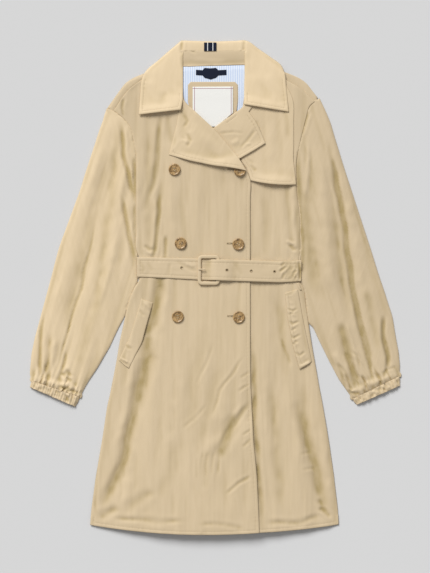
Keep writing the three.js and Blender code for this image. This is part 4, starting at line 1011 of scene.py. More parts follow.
def bumped(tree, shader, layers):
    """Bump layers on a shader, each a height, its strength and its distance in metres."""
    before = None
    for height, strength, distance in layers:
        node = tree.nodes.new("ShaderNodeBump")
        node.inputs["Strength"].default_value = strength
        node.inputs["Distance"].default_value = distance
        tree.links.new(height, node.inputs["Height"])
        if before is not None:
            tree.links.new(before, node.inputs["Normal"])
        before = node.outputs["Normal"]
    tree.links.new(before, shader.inputs["Normal"])


def shade_by(colour, factor):
    """Colour made darker or lighter by a factor."""
    return tuple(channel * factor for channel in colour)


def finished(tree, shader, colour, layers, **sockets):
    """Joins a colour and bump layers to a shader, and sets plain values by the socket's name."""
    tree.links.new(colour, shader.inputs["Base Color"])
    for socket, value in sockets.items():
        shader.inputs[socket.replace("_", " ")].default_value = value
    bumped(tree, shader, layers)


def coat_cloth(name, angle=0.0, tone=1.0, crinkles=1.0):
    """Crisp beige cloth: fine crinkles drawn out along the grain, plain weave, a faint sheen."""
    material, tree, shader = node_tree(name)
    # tone makes a lighter or darker copy of the one cloth for each piece, for how the light falls on it:
    # painted light and shade; deep is the painted shade colour
    lit, deep = shade_by(colours().cloth, tone), shade_by(colours().hollow, tone)

    def grain(stretch, scale, detail, roughness=0.6, **more):
        return texture(tree, "Noise", coordinates(tree, angle, stretch),
                       Scale=scale, Detail=detail, Roughness=roughness, **more)

    broad = grain(2.5, 16, 4, 0.55)
    streak = grain(7, 150, 5, Distortion=0.3)
    crease = grain(3.2, 62, 3, 0.5, noise_type="RIDGED_MULTIFRACTAL")
    fine = grain(4, 420, 3)
    shade_mottle = grain(2.2, 70, 4)
    weft = texture(tree, "Wave", coordinates(tree, angle), Scale=520)
    warp = texture(tree, "Wave", coordinates(tree, angle + 90), Scale=520)
    # Painted shade: the per-vertex share darkens the cloth towards the shade colour in folds, broken up
    # by a noise
    hollow = tree.nodes.new("ShaderNodeAttribute")
    hollow.attribute_name = "hollow"
    painted_shade_share = tree.nodes.new("ShaderNodeMath")
    painted_shade_share.operation = "MULTIPLY"
    tree.links.new(hollow.outputs["Fac"], painted_shade_share.inputs[0])
    tree.links.new(ranged(tree, shade_mottle, 0.36, 0.62, 0.74, 1.06), painted_shade_share.inputs[1])
    shaded = mixed(tree, painted_shade_share.outputs["Value"], lit, deep)
    toned = mixed(tree, ranged(tree, broad, 0.35, 0.65, 0.0, 0.09), shaded, deep)
    # Darker along the low lines of the streak bump: partly painted shade in the fine crinkles, partly the
    # cloth's own streaky tone
    lined = mixed(tree, ranged(tree, streak, 0.38, 0.66, 0.09, 0.0), toned, deep)
    tree.links.new(ranged(tree, streak, 0.3, 0.7, 0.56, 0.70), shader.inputs["Roughness"])
    layers = [(crease, 0.13 * crinkles, 0.0006), (streak, 0.42 * crinkles, 0.0006),
              (fine, 0.30 * crinkles, 0.0002), (weft, 0.12, 0.00006), (warp, 0.12, 0.00006)]
    finished(tree, shader, lined, layers,
             Specular_IOR_Level=0.32, Sheen_Weight=0.12, Sheen_Roughness=0.45)
    return material


def striped_lining():
    """Smooth lining with fine pale blue stripes down the coat."""
    material, tree, shader = node_tree("striped_lining_cloth")
    places = coordinates(tree)
    stripes = texture(tree, "Wave", places, Scale=83, bands_direction="X")
    grain = texture(tree, "Noise", places, Scale=700, Detail=3)
    share = ranged(tree, stripes, 0.4, 0.6, 0.0, 0.75)
    striped = mixed(tree, share, colours().lining, colours().stripe)
    faded = mixed(tree, ranged(tree, grain, 0.3, 0.7, 0.0, 0.25), striped, colours().lining)
    finished(tree, shader, faded, [(grain, 0.3, 0.0001), (stripes, 0.15, 0.00008)],
             Roughness=0.6, Sheen_Weight=0.1)
    return material


def woven(name, ground, pattern=None):
    """Close woven tape or label cloth, with an optional pattern colour drawn by a function."""
    material, tree, shader = node_tree(name)
    places = coordinates(tree)
    rib = texture(tree, "Wave", places, Scale=420, bands_direction="Y")
    grain = texture(tree, "Noise", places, Scale=900, Detail=2)
    colour = mixed(tree, ranged(tree, grain, 0.3, 0.7, 0.0, 0.3), ground, shade_by(ground, 0.72))
    if pattern:
        colour = pattern(tree, places, colour)
    finished(tree, shader, colour, [(rib, 0.3, 0.0001), (grain, 0.25, 0.0001)],
             Specular_IOR_Level=0.2, Roughness=0.8, Sheen_Weight=0.015)
    return material


def sewing_thread():
    """Spun thread a little darker than the cloth."""
    material, tree, shader = node_tree("sewing_thread")
    twist = texture(tree, "Noise", coordinates(tree, 35, 3), Scale=1400, Detail=2)
    colour = mixed(tree, twist, colours().thread, shade_by(colours().thread, 0.7))
    finished(tree, shader, colour, [(twist, 0.4, 0.0001)], Roughness=0.55)
    return material


def polished_horn():
    """Mottled golden-brown horn with dark streaks and a low polish."""
    material, tree, shader = node_tree("polished_horn")
    cloud = texture(tree, "Noise", coordinates(tree, 24, 1.8),
                    Scale=170, Detail=5, Roughness=0.6, Distortion=1.4)
    fleck = texture(tree, "Noise", coordinates(tree, -30, 4), Scale=380, Detail=4, Roughness=0.7)
    share = ranged(tree, cloud, 0.40, 0.62, 0.0, 1.0)
    base = mixed(tree, share, colours().horn, colours().horn_dark)
    pale = ranged(tree, fleck, 0.55, 0.75, 0.0, 0.5)
    tree.links.new(ranged(tree, fleck, 0.3, 0.7, 0.28, 0.42), shader.inputs["Roughness"])
    finished(tree, shader, mixed(tree, pale, base, shade_by(colours().horn, 1.5)),
             [(cloud, 0.12, 0.0002), (fleck, 0.1, 0.0001)], Coat_Weight=0.2, Coat_Roughness=0.2)
    return material


def dark_slit():
    """Painted shadow: near-black cloth colour in the mouth of a buttonhole."""
    material, tree, shader = node_tree("buttonhole_slit")
    grain = texture(tree, "Noise", coordinates(tree), Scale=900, Detail=2)
    dark = shade_by(colours().hollow, 0.12)
    finished(tree, shader, mixed(tree, grain, dark, shade_by(dark, 1.8)),
             [(grain, 0.2, 0.0001)], Roughness=0.9)
    return material


def matt_paper_floor():
    """Pale grey seamless background paper."""
    material, tree, shader = node_tree("background_paper")
    grain = texture(tree, "Noise", coordinates(tree), Scale=260, Detail=4)
    pale = colours().floor
    tone = mixed(tree, ranged(tree, grain, 0.3, 0.7, 0.0, 0.04), pale, shade_by(pale, 0.85))
    finished(tree, shader, tone, [(grain, 0.05, 0.0002)], Roughness=0.95, Specular_IOR_Level=0.1)
    return material


def band(tree, places, axis, centre, half):
    """1 where a coordinate lies within half of a centre, and 0 elsewhere."""
    split = tree.nodes.new("ShaderNodeSeparateXYZ")
    tree.links.new(places, split.inputs["Vector"])
    compare = tree.nodes.new("ShaderNodeMath")
    compare.operation = "COMPARE"
    tree.links.new(split.outputs[axis], compare.inputs[0])
    compare.inputs[1].default_value = centre
    compare.inputs[2].default_value = half
    return compare.outputs["Value"]


MATERIALS = {}


def material(name):
    """Finish of the coat by its name, made once."""
    if name not in MATERIALS:
        # Third number of each coat cloth: its tone, painted light and shade that makes each piece lighter
        # or darker for how the light falls on it
        makers = {
            "body": lambda: coat_cloth("coat_cloth_body"),
            "sleeve_right": lambda: coat_cloth("coat_cloth_sleeve_right", -14, 1.14),
            "sleeve_left": lambda: coat_cloth("coat_cloth_sleeve_left", 16, 0.97),
            "collar": lambda: coat_cloth("coat_cloth_collar", 8, 1.20, 0.3),
            "lapel": lambda: coat_cloth("coat_cloth_lapel", 25, 1.08, 0.4),
            "stand": lambda: coat_cloth("coat_cloth_stand", 90, 1.02, 0.3),
            "cuff": lambda: coat_cloth("coat_cloth_cuff", 0, 1.06, 0.5),
            "trim": lambda: coat_cloth("coat_cloth_trim", 90, 1.0, 0.5),
            "lining": striped_lining,
            "label": lambda: woven("label_satin", colours().label, label_border),
            "navy": lambda: woven("navy_twill", colours().navy),
            "tape": lambda: woven("navy_tape", colours().navy, tape_lines),
            "thread": sewing_thread,
            "horn": polished_horn,
            "slit": dark_slit,
            "floor": matt_paper_floor,
        }
        MATERIALS[name] = makers[name]()
    return MATERIALS[name]


def label_border(tree, places, ground):
    """Fine woven line inside the label's sides and top."""
    low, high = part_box("neck_label")
    colour = ground
    for axis, place in ((0, low.x + 0.004), (0, high.x - 0.004), (1, high.y - 0.004)):
        colour = mixed(tree, band(tree, places, axis, place, 0.0005), colour, colours().border)
    return colour


def tape_lines(tree, places, ground):
    """Two cream pin lines along the tape."""
    low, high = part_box("collar_tape")
    middle = (low.x + high.x) / 2
    colour = ground
    for x in (middle - 0.0055, middle + 0.0055):
        colour = mixed(tree, band(tree, places, 0, x, 0.0007), colour, colours().label)
    return colour


# The coat's pieces, from the floor up
def gathers(line, count, reach, height, phase=0.0):
    """Heights of small pleats that leave a seam line and die out away from it."""
    away, share, length = map_along(line)
    turn = 2 * math.pi * count * share / length
    wave = np.cos(turn + 0.9 * np.sin(turn * 0.37 + phase) + phase)
    return height * wave * np.exp(-(away / reach) ** 1.4)


def node_form(node, reach=5.0, above=None):
    """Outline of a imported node's top and its height map, with its flat faces smoothed."""
    corners, faces = top_faces(node, above)
    heights, mask = surface_map(corners, faces)
    return outline_of(corners, faces), spread(np.where(mask, heights, 0.0), mask, reach)


def pressed():
    """1 where cloth is free, and lower where the belt holds it flat."""
    loop = outline_of(*top_faces("belt_front"))
    return 1 - 0.8 * np.clip(blur(mask_of(loop).astype(float), 4.0) * 1.3, 0, 1)


def body_crinkle(seed, angle=0.0):
    """Faint creases of light cloth: broad waves, narrow ones along the grain and a few ridges."""
    height = sizes().crinkle / MM
    waves = 0.85 * ripple(seed, 34, 230, angle) + 0.2 * ripple(seed + 50, 8, 150, angle)
    crumples = np.clip(ripple(seed + 60, 60, 90, angle) - 0.5, 0, 1.2)
    crumples = 0.1 * crumples * crinkle(seed + 70, 15, 40, angle + 20)
    return height * (waves + crumples + 0.2 * crinkle(seed + 90, 16, 120, angle))


def lay_piece(node, folds=(), detail=0.0, reach=5.0, wall=None, soften=2.5, above=None):
    """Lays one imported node's layer on the pile, with its folds, and returns its outline and heights."""
    wall = wall if wall is not None else sizes().wall / MM
    loop, form = node_form(node, reach, above)
    height = pile.lay(node, loop, form + (fold_map(folds) + detail), wall, soften)
    return loop, height


class CoatOperator(Operator):
    """Shared settings of the operators that build the coat"""

    bl_options = {"REGISTER"}


class COAT_OT_stage(CoatOperator):
    """Set up the pale floor, the soft lights and the camera straight above"""

    bl_idname = "coat.stage"
    bl_label = "Stage"

    def execute(self, context):
        mesh = bpy.data.meshes.new("floor")
        ticks = np.linspace(-FLOOR_HALF, FLOOR_HALF, FLOOR_CELLS + 1)
        corners = [(x, y, FLOOR_LEVEL) for y in ticks for x in ticks]
        row = FLOOR_CELLS + 1
        cells = [j * row + i for j in range(FLOOR_CELLS) for i in range(FLOOR_CELLS)]
        faces = [(k, k + 1, k + row + 1, k + row) for k in cells]
        mesh.from_pydata(corners, [], faces)
        mesh.materials.append(material("floor"))
        floor = bpy.data.objects.new("floor", mesh)
        context.scene.collection.objects.link(floor)

        world = bpy.data.worlds.new("soft_studio")
        world.use_nodes = True
        sky = world.node_tree.nodes["Background"]
        sky.inputs["Color"].default_value = (1.0, 1.0, 1.0, 1)
        sky.inputs["Strength"].default_value = SKY_STRENGTH
        context.scene.world = world

        key = bpy.data.lights.new("key_light", "SUN")
        key.energy = KEY_STRENGTH
        key.angle = math.radians(KEY_ANGLE)
        key_object = bpy.data.objects.new("key_light", key)
        key_object.rotation_euler = Vector(KEY_DIRECTION).to_track_quat("-Z", "Y").to_euler()
        context.scene.collection.objects.link(key_object)

        height = sizes().camera_height
        lens = bpy.data.cameras.new("camera")
        lens.sensor_width = SENSOR
        lens.lens = SENSOR * (height - COAT_LEVEL) / (MM_PER_PIXEL * MM * max(IMAGE))
        camera = bpy.data.objects.new("camera", lens)
        camera.location = (0, CAMERA_SHIFT, height)
        context.scene.collection.objects.link(camera)
        context.scene.camera = camera
        context.scene.view_settings.view_transform = "Standard"
        return {"FINISHED"}


class COAT_OT_back(CoatOperator):
    """Lay the belt's back stretch, the collar's back fall and the back panel with its shoulder folds"""

    bl_idname = "coat.back"
    bl_label = "Back panel"

    def execute(self, context):
        wall = sizes().wall / MM
        loop, height = lay_piece("belt_back", wall=BELT_LAYER)
        belt = Outline(loop, 6, sewn=lambda x, y: abs(x) < 160)
        sew_on("belt_back", belt, height, 5, "trim", "trim_cloth", ["floor"], wall=BELT_LAYER)

        loop = lower_outline("collar")
        height = pile.lay("collar_back_fall", loop, 0 * MAP_X, wall)
        outline = Outline(loop, 5, folded=lambda x, y: y > 442)
        pile.collar_back = make_sheet(outline, height, 7, fold_drop=0.2)

        loop = grown(lower_outline("back"), 1.8, tucked_edges)
        height = pile.lay("back_panel", loop, wall + 0.4 + 0 * MAP_X, wall, 4.0)
        swell = np.maximum(body_crinkle(11) * 0.5, 0) * 0.3
        sheets = [make_sheet(Outline(loop, 6, sewn=in_hem), height + swell, 8)]
        corners, faces = top_faces("back", above=shoulder_level)
        heights, mask = surface_map(corners, faces)
        form = spread(np.where(mask, heights, 0.0), mask, 4)
        for loop in outlines_of(corners, faces)[:2]:
            side = "right" if loop[:, 0].mean() < 0 else "left"
            height = pile.lay(f"shoulder_edge_{side}", loop, form, wall)
            front, front_form = node_form(f"front_{side}")
            edge = Outline(beside(rounded(loop, 3), [front], 3.5), 3, folded=shoulder_fold)
            covers = [(rounded(front, 3), front_form, SEAM_DEPTH)]
            sheets.append(make_sheet(
                edge, height, 3.2, fold_drop=2.0, fold_radius=5, covers=covers))
        add_sheets("back", sheets, "body", "coat_cloth")
        return {"FINISHED"}


def in_hem(x, y):
    """Border of the body that is its hem."""
    return y < HEM_TOP


def tucked_edges(x, y):
    """How much of its growth the back's border gets: under the fronts, and more at the armholes."""
    armhole = (np.abs(x) > 180) & (y > 330) & (y < 394)
    return ((np.abs(x) < 215) & (y > -60) & (y < 380)) + 2.4 * armhole


def shoulder_level(y):
    """Height above which the back's faces belong to its shoulder edges."""
    return 2.1 + 1.6 * np.clip((y - 414) / 14, 0, 1)


def grown(loop, reach, where):
    """Outline grown by a reach in one part of it."""
    loop = turned_left(loop)
    return loop + reach * where(*loop.T)[:, None] * outward_of(loop)


def shoulder_fold(x, y):
    """Border of a shoulder edge that is the fold, and not the seam to the front."""
    return y > np.where(x < 0, 452 + 0.92 * (x + 148) + 2.5, 454 - 0.80 * (x - 148) + 1.0) - 6


def lower_outline(node):
    """Outline of the lowest layer of a node."""
    corners, triangles = node_mesh(node)
    down = tilts(corners, triangles) < -0.3
    return outline_of(corners, triangles[down][:, ::-1])


class COAT_OT_neck(CoatOperator):
    """Lay the striped lining, the neck facing and the two labels that show in the neck"""

    bl_idname = "coat.neck"
    bl_label = "Neck"

    def execute(self, context):
        pieces = [
            ("neck_lining", "lining", "striped_lining", ["back_cloth"]),
            ("neck_facing", "trim", "trim_cloth", ["neck_lining_cloth"]),
            ("neck_label", "label", "label_white", ["neck_facing_cloth"]),
            ("hanger_label", "navy", "label_navy", ["neck_lining_cloth"]),
        ]
        for node, finish, slot, below in pieces:
            loop, height = lay_piece(node, wall=LABEL_LAYER)
            if node == "neck_lining":
                loop = grown(rounded(loop, 4), 7, lambda x, y: y > 452)
                height = pile.lay(node, loop, height, LABEL_LAYER)
            sew_on(node, Outline(loop, 2, corner=16), height, 2.6, finish, slot, below,
                   wall=LABEL_WALL, edge_drop=0.15)
        return {"FINISHED"}


class COAT_OT_left_front(CoatOperator):
    """Lay the left front, which the right front laps over"""

    bl_idname = "coat.left_front"
    bl_label = "Left front"

    def execute(self, context):
        lay_front("front_left", LEFT_FRONT_FOLDS, body_crinkle(23) + side_roll(1), in_hem,
                  ["back_cloth"], coarse=lambda x, y: (x < 55) & (y < 240))
        return {"FINISHED"}


def lay_front(node, folds, detail, sewn, rests_on, coarse=None):
    """Lays one front, pressed flat where the belt holds it, with its folded side."""
    loop, height = lay_piece(node, folds, detail * pressed(), reach=7)
    outline = Outline(loop, 3, sewn=sewn, folded=body_side)
    sew_on(node, outline, height, sizes().pitch / MM, "body", "coat_cloth", rests_on,
           folds=folds, coarse=coarse, fold_drop=1.4, fold_radius=6)


def body_side(x, y):
    """Border of a front that is the folded side of the body."""
    return (np.abs(x) > 150) & (y < ARMHOLE_END) & (y > HEM_TOP)


def side_roll(side):
    """Swell of the folded side of the body beside a sleeve."""
    line = [(172, 300), (164, 204), (170, 90), (168, 20), (184, -60)]
    return fold_map([([(x * side, y) for x, y in line], 7, 1.8)])


class COAT_OT_storm_flap(CoatOperator):
    """Lay the storm flap over the left front"""

    bl_idname = "coat.storm_flap"
    bl_label = "Storm flap"

    def execute(self, context):
        detail = 0.4 * body_crinkle(31) + flare([(78, 224), (120, 219), (168, 216)], 15, 5.0)
        loop, height = lay_piece("storm_flap", STORM_FLAP_FOLDS, detail)
        outline = Outline(loop, 2.6, sewn=lambda x, y: (y < 230) | ((x < 80) & (y < 300)))
        sew_on("storm_flap", outline, height, 2.8, "lapel", "trim_cloth", ["front_left_cloth"],
               folds=STORM_FLAP_FOLDS)
        return {"FINISHED"}


class COAT_OT_left_lapel(CoatOperator):
    """Turn the left lapel out over the storm flap"""

    bl_idname = "coat.left_lapel"
    bl_label = "Left lapel"

    def execute(self, context):
        detail = 0.35 * body_crinkle(37, 35) + flare([(22, 253), (80, 287), (104, 301)], 10, 2.4)
        loop, height = lay_piece("lapel_left", LAPEL_LEFT_FOLDS, detail)
        outline = Outline(loop, 2.2, sewn=lambda x, y: (x > 20) & (y < 366))
        sew_on("lapel_left", outline, height, 2.4, "lapel", "trim_cloth",
               ["storm_flap_cloth", "front_left_cloth"], "folded")
        return {"FINISHED"}


class COAT_OT_right_front(CoatOperator):
    """Lay the right front, which laps over the left one"""

    bl_idname = "coat.right_front"
    bl_label = "Right front"

    def execute(self, context):
        lay_front("front_right", RIGHT_FRONT_FOLDS, body_crinkle(41) + side_roll(-1),
                  lambda x, y: in_hem(x, y) | ((x > 68) & (y < 240)),
                  ["front_left_cloth", "back_cloth"])
        return {"FINISHED"}


def ring_faces(rings, sides, closed=False):
    """Faces between rings of corners that follow each other, with caps unless the rings close."""
    faces = []
    for k in range(rings if closed else rings - 1):
        n = (k + 1) % rings
        for s in range(sides):
            t = (s + 1) % sides
            faces.append((k * sides + s, k * sides + t, n * sides + t, n * sides + s))
    if not closed:
        faces.append(tuple(range(sides))[::-1])
        faces.append(tuple((rings - 1) * sides + s for s in range(sides)))
    return faces


def button_rings(radius, thick, segments=56):
    """Rings of a turned button from the middle of its underside to the edge of its dish."""
    profile = [
        (0.80, 0.0), (0.95, 0.16), (1.0, 0.42), (0.985, 0.70), (0.93, 0.93), (0.86, 1.0),
        (0.79, 0.95), (0.73, 0.80), (DISH, DISH_LEVEL)]
    turn = 2 * math.pi * np.arange(segments) / segments
    return [
        np.column_stack([r * radius * np.cos(turn), r * radius * np.sin(turn),
                         np.full(segments, z * thick)])
        for r, z in profile]


def circle(x, y, radius, count):
    """Places round a circle."""
    turn = 2 * math.pi * np.arange(count) / count
    return np.column_stack([x + radius * np.cos(turn), y + radius * np.sin(turn)])


def button_mesh(radius, thick):
    """Corners and faces of a four-hole button, in its own place."""
    corners = button_rings(radius, thick)
    segments = len(corners[0])
    faces = ring_faces(len(corners), segments)[:-1]
    away = HOLE_PLACE * radius
    holes = [circle(away * dx, away * dy, sizes().button_hole / MM / 2, 12)
             for dx, dy in ((1, 1), (-1, 1), (-1, -1), (1, -1))]
    dish = corners[-1][:, :2]
    start = segments * len(corners)
    inner = np.vstack([circle(0, 0, 0.52 * radius, 24), circle(0, 0, 0.40 * radius, 16), [(0, 0)]])
    points, triangles = filled_disc(dish, holes, inner)
    sink = 0.10 * thick * (1 - (np.hypot(*points.T) / (DISH * radius)) ** 2)
    corners.append(np.column_stack([points, DISH_LEVEL * thick - sink]))
    faces += [tuple(int(index) + start for index in face) for face in triangles]
    start += len(points)
    for ring in holes:
        count = len(ring)
        corners += [np.column_stack([ring, np.full(count, level * thick)]) for level in (0.66, 0.1)]
        for i in range(count):
            j = (i + 1) % count
            faces.append((start + i, start + count + i, start + count + j, start + j))
        faces.append(tuple(range(start + count, start + 2 * count)))
        start += 2 * count
    return np.vstack(corners), faces


def filled_disc(border, holes, inner):
    """Triangles between an outline and its holes."""
    edges, _ = ring_edges([border, *holes])
    places, triangles, _ = triangulated(np.vstack([border, *holes, inner]), edges, 1e-5)
    centres = places[triangles].mean(1)
    keep = np.ones(len(triangles), bool)
    for ring in holes:
        keep &= ~inside(ring, *centres.T)
    return places, triangles[keep]


def thread_bar(start, end, lift, radius, parts=8, sides=6):
    """Small tube of thread that arches from one place to another."""
    start, end = np.asarray(start, float), np.asarray(end, float)
    ahead = (end - start) / np.linalg.norm(end - start)
    side, up = np.array([-ahead[1], ahead[0], 0.0]), np.array([0, 0, 1])
    corners = []
    for k in range(parts + 1):
        share = k / parts
        middle = start + (end - start) * share + up * (lift * math.sin(math.pi * share))
        for s in range(sides):
            turn = 2 * math.pi * s / sides
            corners.append(middle + radius * (math.cos(turn) * side + math.sin(turn) * up))
    return np.array(corners), ring_faces(parts + 1, sides)


def joined(parts):
    """Corners and faces of several meshes as one."""
    corners, faces, start = [], [], 0
    for part_corners, part_faces in parts:
        corners.append(np.asarray(part_corners))
        faces += [tuple(int(index) + start for index in face) for face in part_faces]
        start += len(part_corners)
    return np.vstack(corners), faces


class COAT_OT_buttons(CoatOperator):
    """Sew on the six horn buttons and work the three buttonholes"""

    bl_idname = "coat.buttons"
    bl_label = "Buttons and buttonholes"

    def execute(self, context):
        for node in sorted(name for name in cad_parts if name.startswith("button_")):
            low, high = (np.array(corner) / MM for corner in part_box(node))
            x, y = (low[:2] + high[:2]) / 2
            radius, thick = (high[0] - low[0]) / 2, high[2] - low[2]
            spot = mask_of(circle(x, y, radius, 40))
            corners, faces = button_mesh(radius, thick)
            turn = math.radians(23 * len(node))
            spin = np.array([[math.cos(turn), math.sin(turn)], [-math.sin(turn), math.cos(turn)]])
            corners[:, :2] = corners[:, :2] @ spin
            base = max(pile.top[spot].max() + 0.1, low[2] - 0.6)
            corners += (x, y, base)
            piece = add_mesh(f"{node}_horn", corners, faces, "horn", "horn", smooth_angle=40)
            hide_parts(node)
            bars = []
            for a, b in (((1, 1), (-1, 1)), ((1, -1), (-1, -1))):
                ends = np.array([[*a], [*b]]) * HOLE_PLACE * radius @ spin
                for shift in (-0.35, 0.35):
                    points = [(x + ex + shift * spin[1, 0], y + ey + shift * spin[1, 1],
                               base + 0.55 * thick) for ex, ey in ends]
                    bars.append(thread_bar(*points, lift=1.1, radius=0.33))
            add_mesh(f"{node}_thread", *joined(bars), "thread", "trim_cloth")
            pile.top = np.where(spot, np.maximum(pile.top, base + thick), pile.top)
        add_buttonholes()
        return {"FINISHED"}


def add_buttonholes():
    """Slits painted with shadow colour, with a close thread edge, on the right front."""
    length, width = BUTTONHOLE_SIZE
    height = pile.heights["front_right"]
    slits, threads = [], []
    for x, y in BUTTONHOLES:
        rim = circle(0, 0, 0.5, 24) * (length, width) + (x, y)
        z = sample(height, rim) + 0.15
        centre = np.array([[x, y, sample(height, np.array([[x, y]]))[0] - 0.15]])
        slits.append((np.vstack([np.column_stack([rim, z]), centre]),
                      [(k, (k + 1) % 24, 24) for k in range(24)]))
        steps = np.arange(-length / 2, length / 2, BUTTONHOLE_STEP)
        for side in (-1, 1):
            for dx in steps:
                foot = np.array([x + dx, y + side * (width / 2 + 1.3)])
                head = np.array([x + dx, y + side * width / 2 * 0.6])
                low, high = sample(height, np.array([foot, head]))
                threads.append(
                    thread_bar((*foot, low + 0.1), (*head, high + 0.15), 0.25, 0.3, parts=3))
    add_mesh("buttonhole_slits", *joined(slits), "slit", "coat_cloth")
    add_mesh("buttonhole_threads", *joined(threads), "thread", "trim_cloth")


class COAT_OT_right_lapel(CoatOperator):
    """Turn the right lapel out over the front and the top button"""

    bl_idname = "coat.right_lapel"
    bl_label = "Right lapel"

    def execute(self, context):
        loop, form = node_form("lapel_right")
        away, *_ = map_along([(-97, 280), (-88, 312), (-80, 345), (-76, 372), (-90, 392)])
        form = np.minimum(form, pile.top + LAYER_GAP + LAPEL_WALL + 0.1 * away)
        form += 0.35 * body_crinkle(43, -30) * smooth_step(0, 20, away)
        form += fold_map(LAPEL_RIGHT_FOLDS)
        form += flare([(-90, 276), (-20, 261), (40, 250)], 11, 4.0) * smooth_step(4, 34, away)
        height = pile.lay("lapel_right", loop, form, LAPEL_WALL, 2.5)
        outline = Outline(loop, 2.2, sewn=lambda x, y: y < 247 + 0.26 * np.maximum(30 - x, 0) + 12)
        sew_on("lapel_right", outline, height, 2.4, "lapel", "trim_cloth", ["front_right_cloth"],
               "folded", LAPEL_WALL, folds=LAPEL_RIGHT_FOLDS, edge_drop=0.2)
        return {"FINISHED"}


class COAT_OT_collar(CoatOperator):
    """Set the collar: its stand, the fall round the neck with both leaves, and the tape behind"""

    bl_idname = "coat.collar"
    bl_label = "Collar"

    def execute(self, context):
        rise = 2.6 * smooth_step(470, 496, MAP_Y) + fold_map(STAND_FOLDS)
        loop, height = lay_piece("collar_stand", detail=rise, wall=STAND_LAYER)
        loop = grown(rounded(loop, 4, corner=20), 4, lambda x, y: y > 485)
        loop[:, 0] *= np.where(np.abs(loop[:, 0]) > 55, 1.07, 1)
        sew_on("collar_stand", Outline(loop, 2.2, corner=20), height, 2.6, "stand", "trim_cloth",
               ["neck_lining_cloth"], "folded", folds=STAND_FOLDS, edge_drop=0.5)

        detail = 0.18 * body_crinkle(47, 10)
        detail += flare([(-160, 363), (-110, 368), (-72, 373)], 17, 5.0)
        detail += flare([(62, 384), (110, 376), (154, 369)], 17, 4.0)
        loop, height = lay_piece("collar", COLLAR_FOLDS, detail, above=lambda y: 1.32, soften=3.5)
        outline = Outline(
            loop, 2.4, sewn=lambda x, y: (y < 410) | (np.abs(x) > 128) & (y < 440),
            folded=lambda x, y: y > np.where(np.abs(x) < 69, 506, 452))
        fall = make_sheet(outline, height, 2.6, folds=COLLAR_FOLDS, fold_drop=2.2,
                          fold_radius=5, edge_drop=0.8)
        add_sheets("collar", [fall, pile.collar_back], "collar", "coat_cloth")

        loop, height = lay_piece("collar_tape", wall=TAPE_LAYER)
        sew_on("collar_tape", Outline(loop, 1.5), height, 2, "tape", "tape_navy", ["collar_cloth"],
               wall=LABEL_WALL, edge_drop=0.1)
        return {"FINISHED"}


def rounded_frame(left, right, low, high, corner, parts=8):
    """Closed line round a rectangle with rounded corners, and its outward directions."""
    points, outward, sides = [], [], 10
    corners = (
        (right - corner, low + corner, -90), (right - corner, high - corner, 0),
        (left + corner, high - corner, 90), (left + corner, low + corner, 180))
    for index, (x, y, start) in enumerate(corners):
        for k in range(parts + 1):
            turn = math.radians(start + 90 * k / parts)
            outward.append((math.cos(turn), math.sin(turn)))
            points.append((x + corner * math.cos(turn), y + corner * math.sin(turn)))
        ahead = corners[(index + 1) % 4]
        turn = math.radians(ahead[2])
        end = (ahead[0] + corner * math.cos(turn), ahead[1] + corner * math.sin(turn))
        last = points[-1]
        for k in range(1, sides):
            share = k / sides
            points.append((last[0] + (end[0] - last[0]) * share, last[1] + (end[1] - last[1]) * share))
            outward.append(outward[-1])
    return np.array(points), np.array(outward)


def buckle_corners():
    """Corners and faces of the covered buckle: an oval section swept round its frame."""
    low, high = (np.array(corner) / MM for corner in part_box("buckle"))
    half, thick, sides = BUCKLE_BAR / 2, high[2] - low[2], 14
    path, outward = rounded_frame(
        low[0] + half, high[0] - half, low[1] + half, high[1] - half, 6.0)
    corners = []
    for index, ((x, y), (dx, dy)) in enumerate(zip(path, outward)):
        pinch = 1 + 0.035 * math.sin(index * 1.9)
        for s in range(sides):
            turn = 2 * math.pi * s / sides
            across = math.copysign(abs(math.cos(turn)) ** 0.75, math.cos(turn)) * half * pinch
            up = math.copysign(abs(math.sin(turn)) ** 0.8, math.sin(turn)) * thick / 2
            corners.append((x + across * dx, y + across * dy, low[2] + thick / 2 + up))
    faces = [(a, d, c, b) for a, b, c, d in ring_faces(len(path), sides, closed=True)]
    return np.array(corners), faces


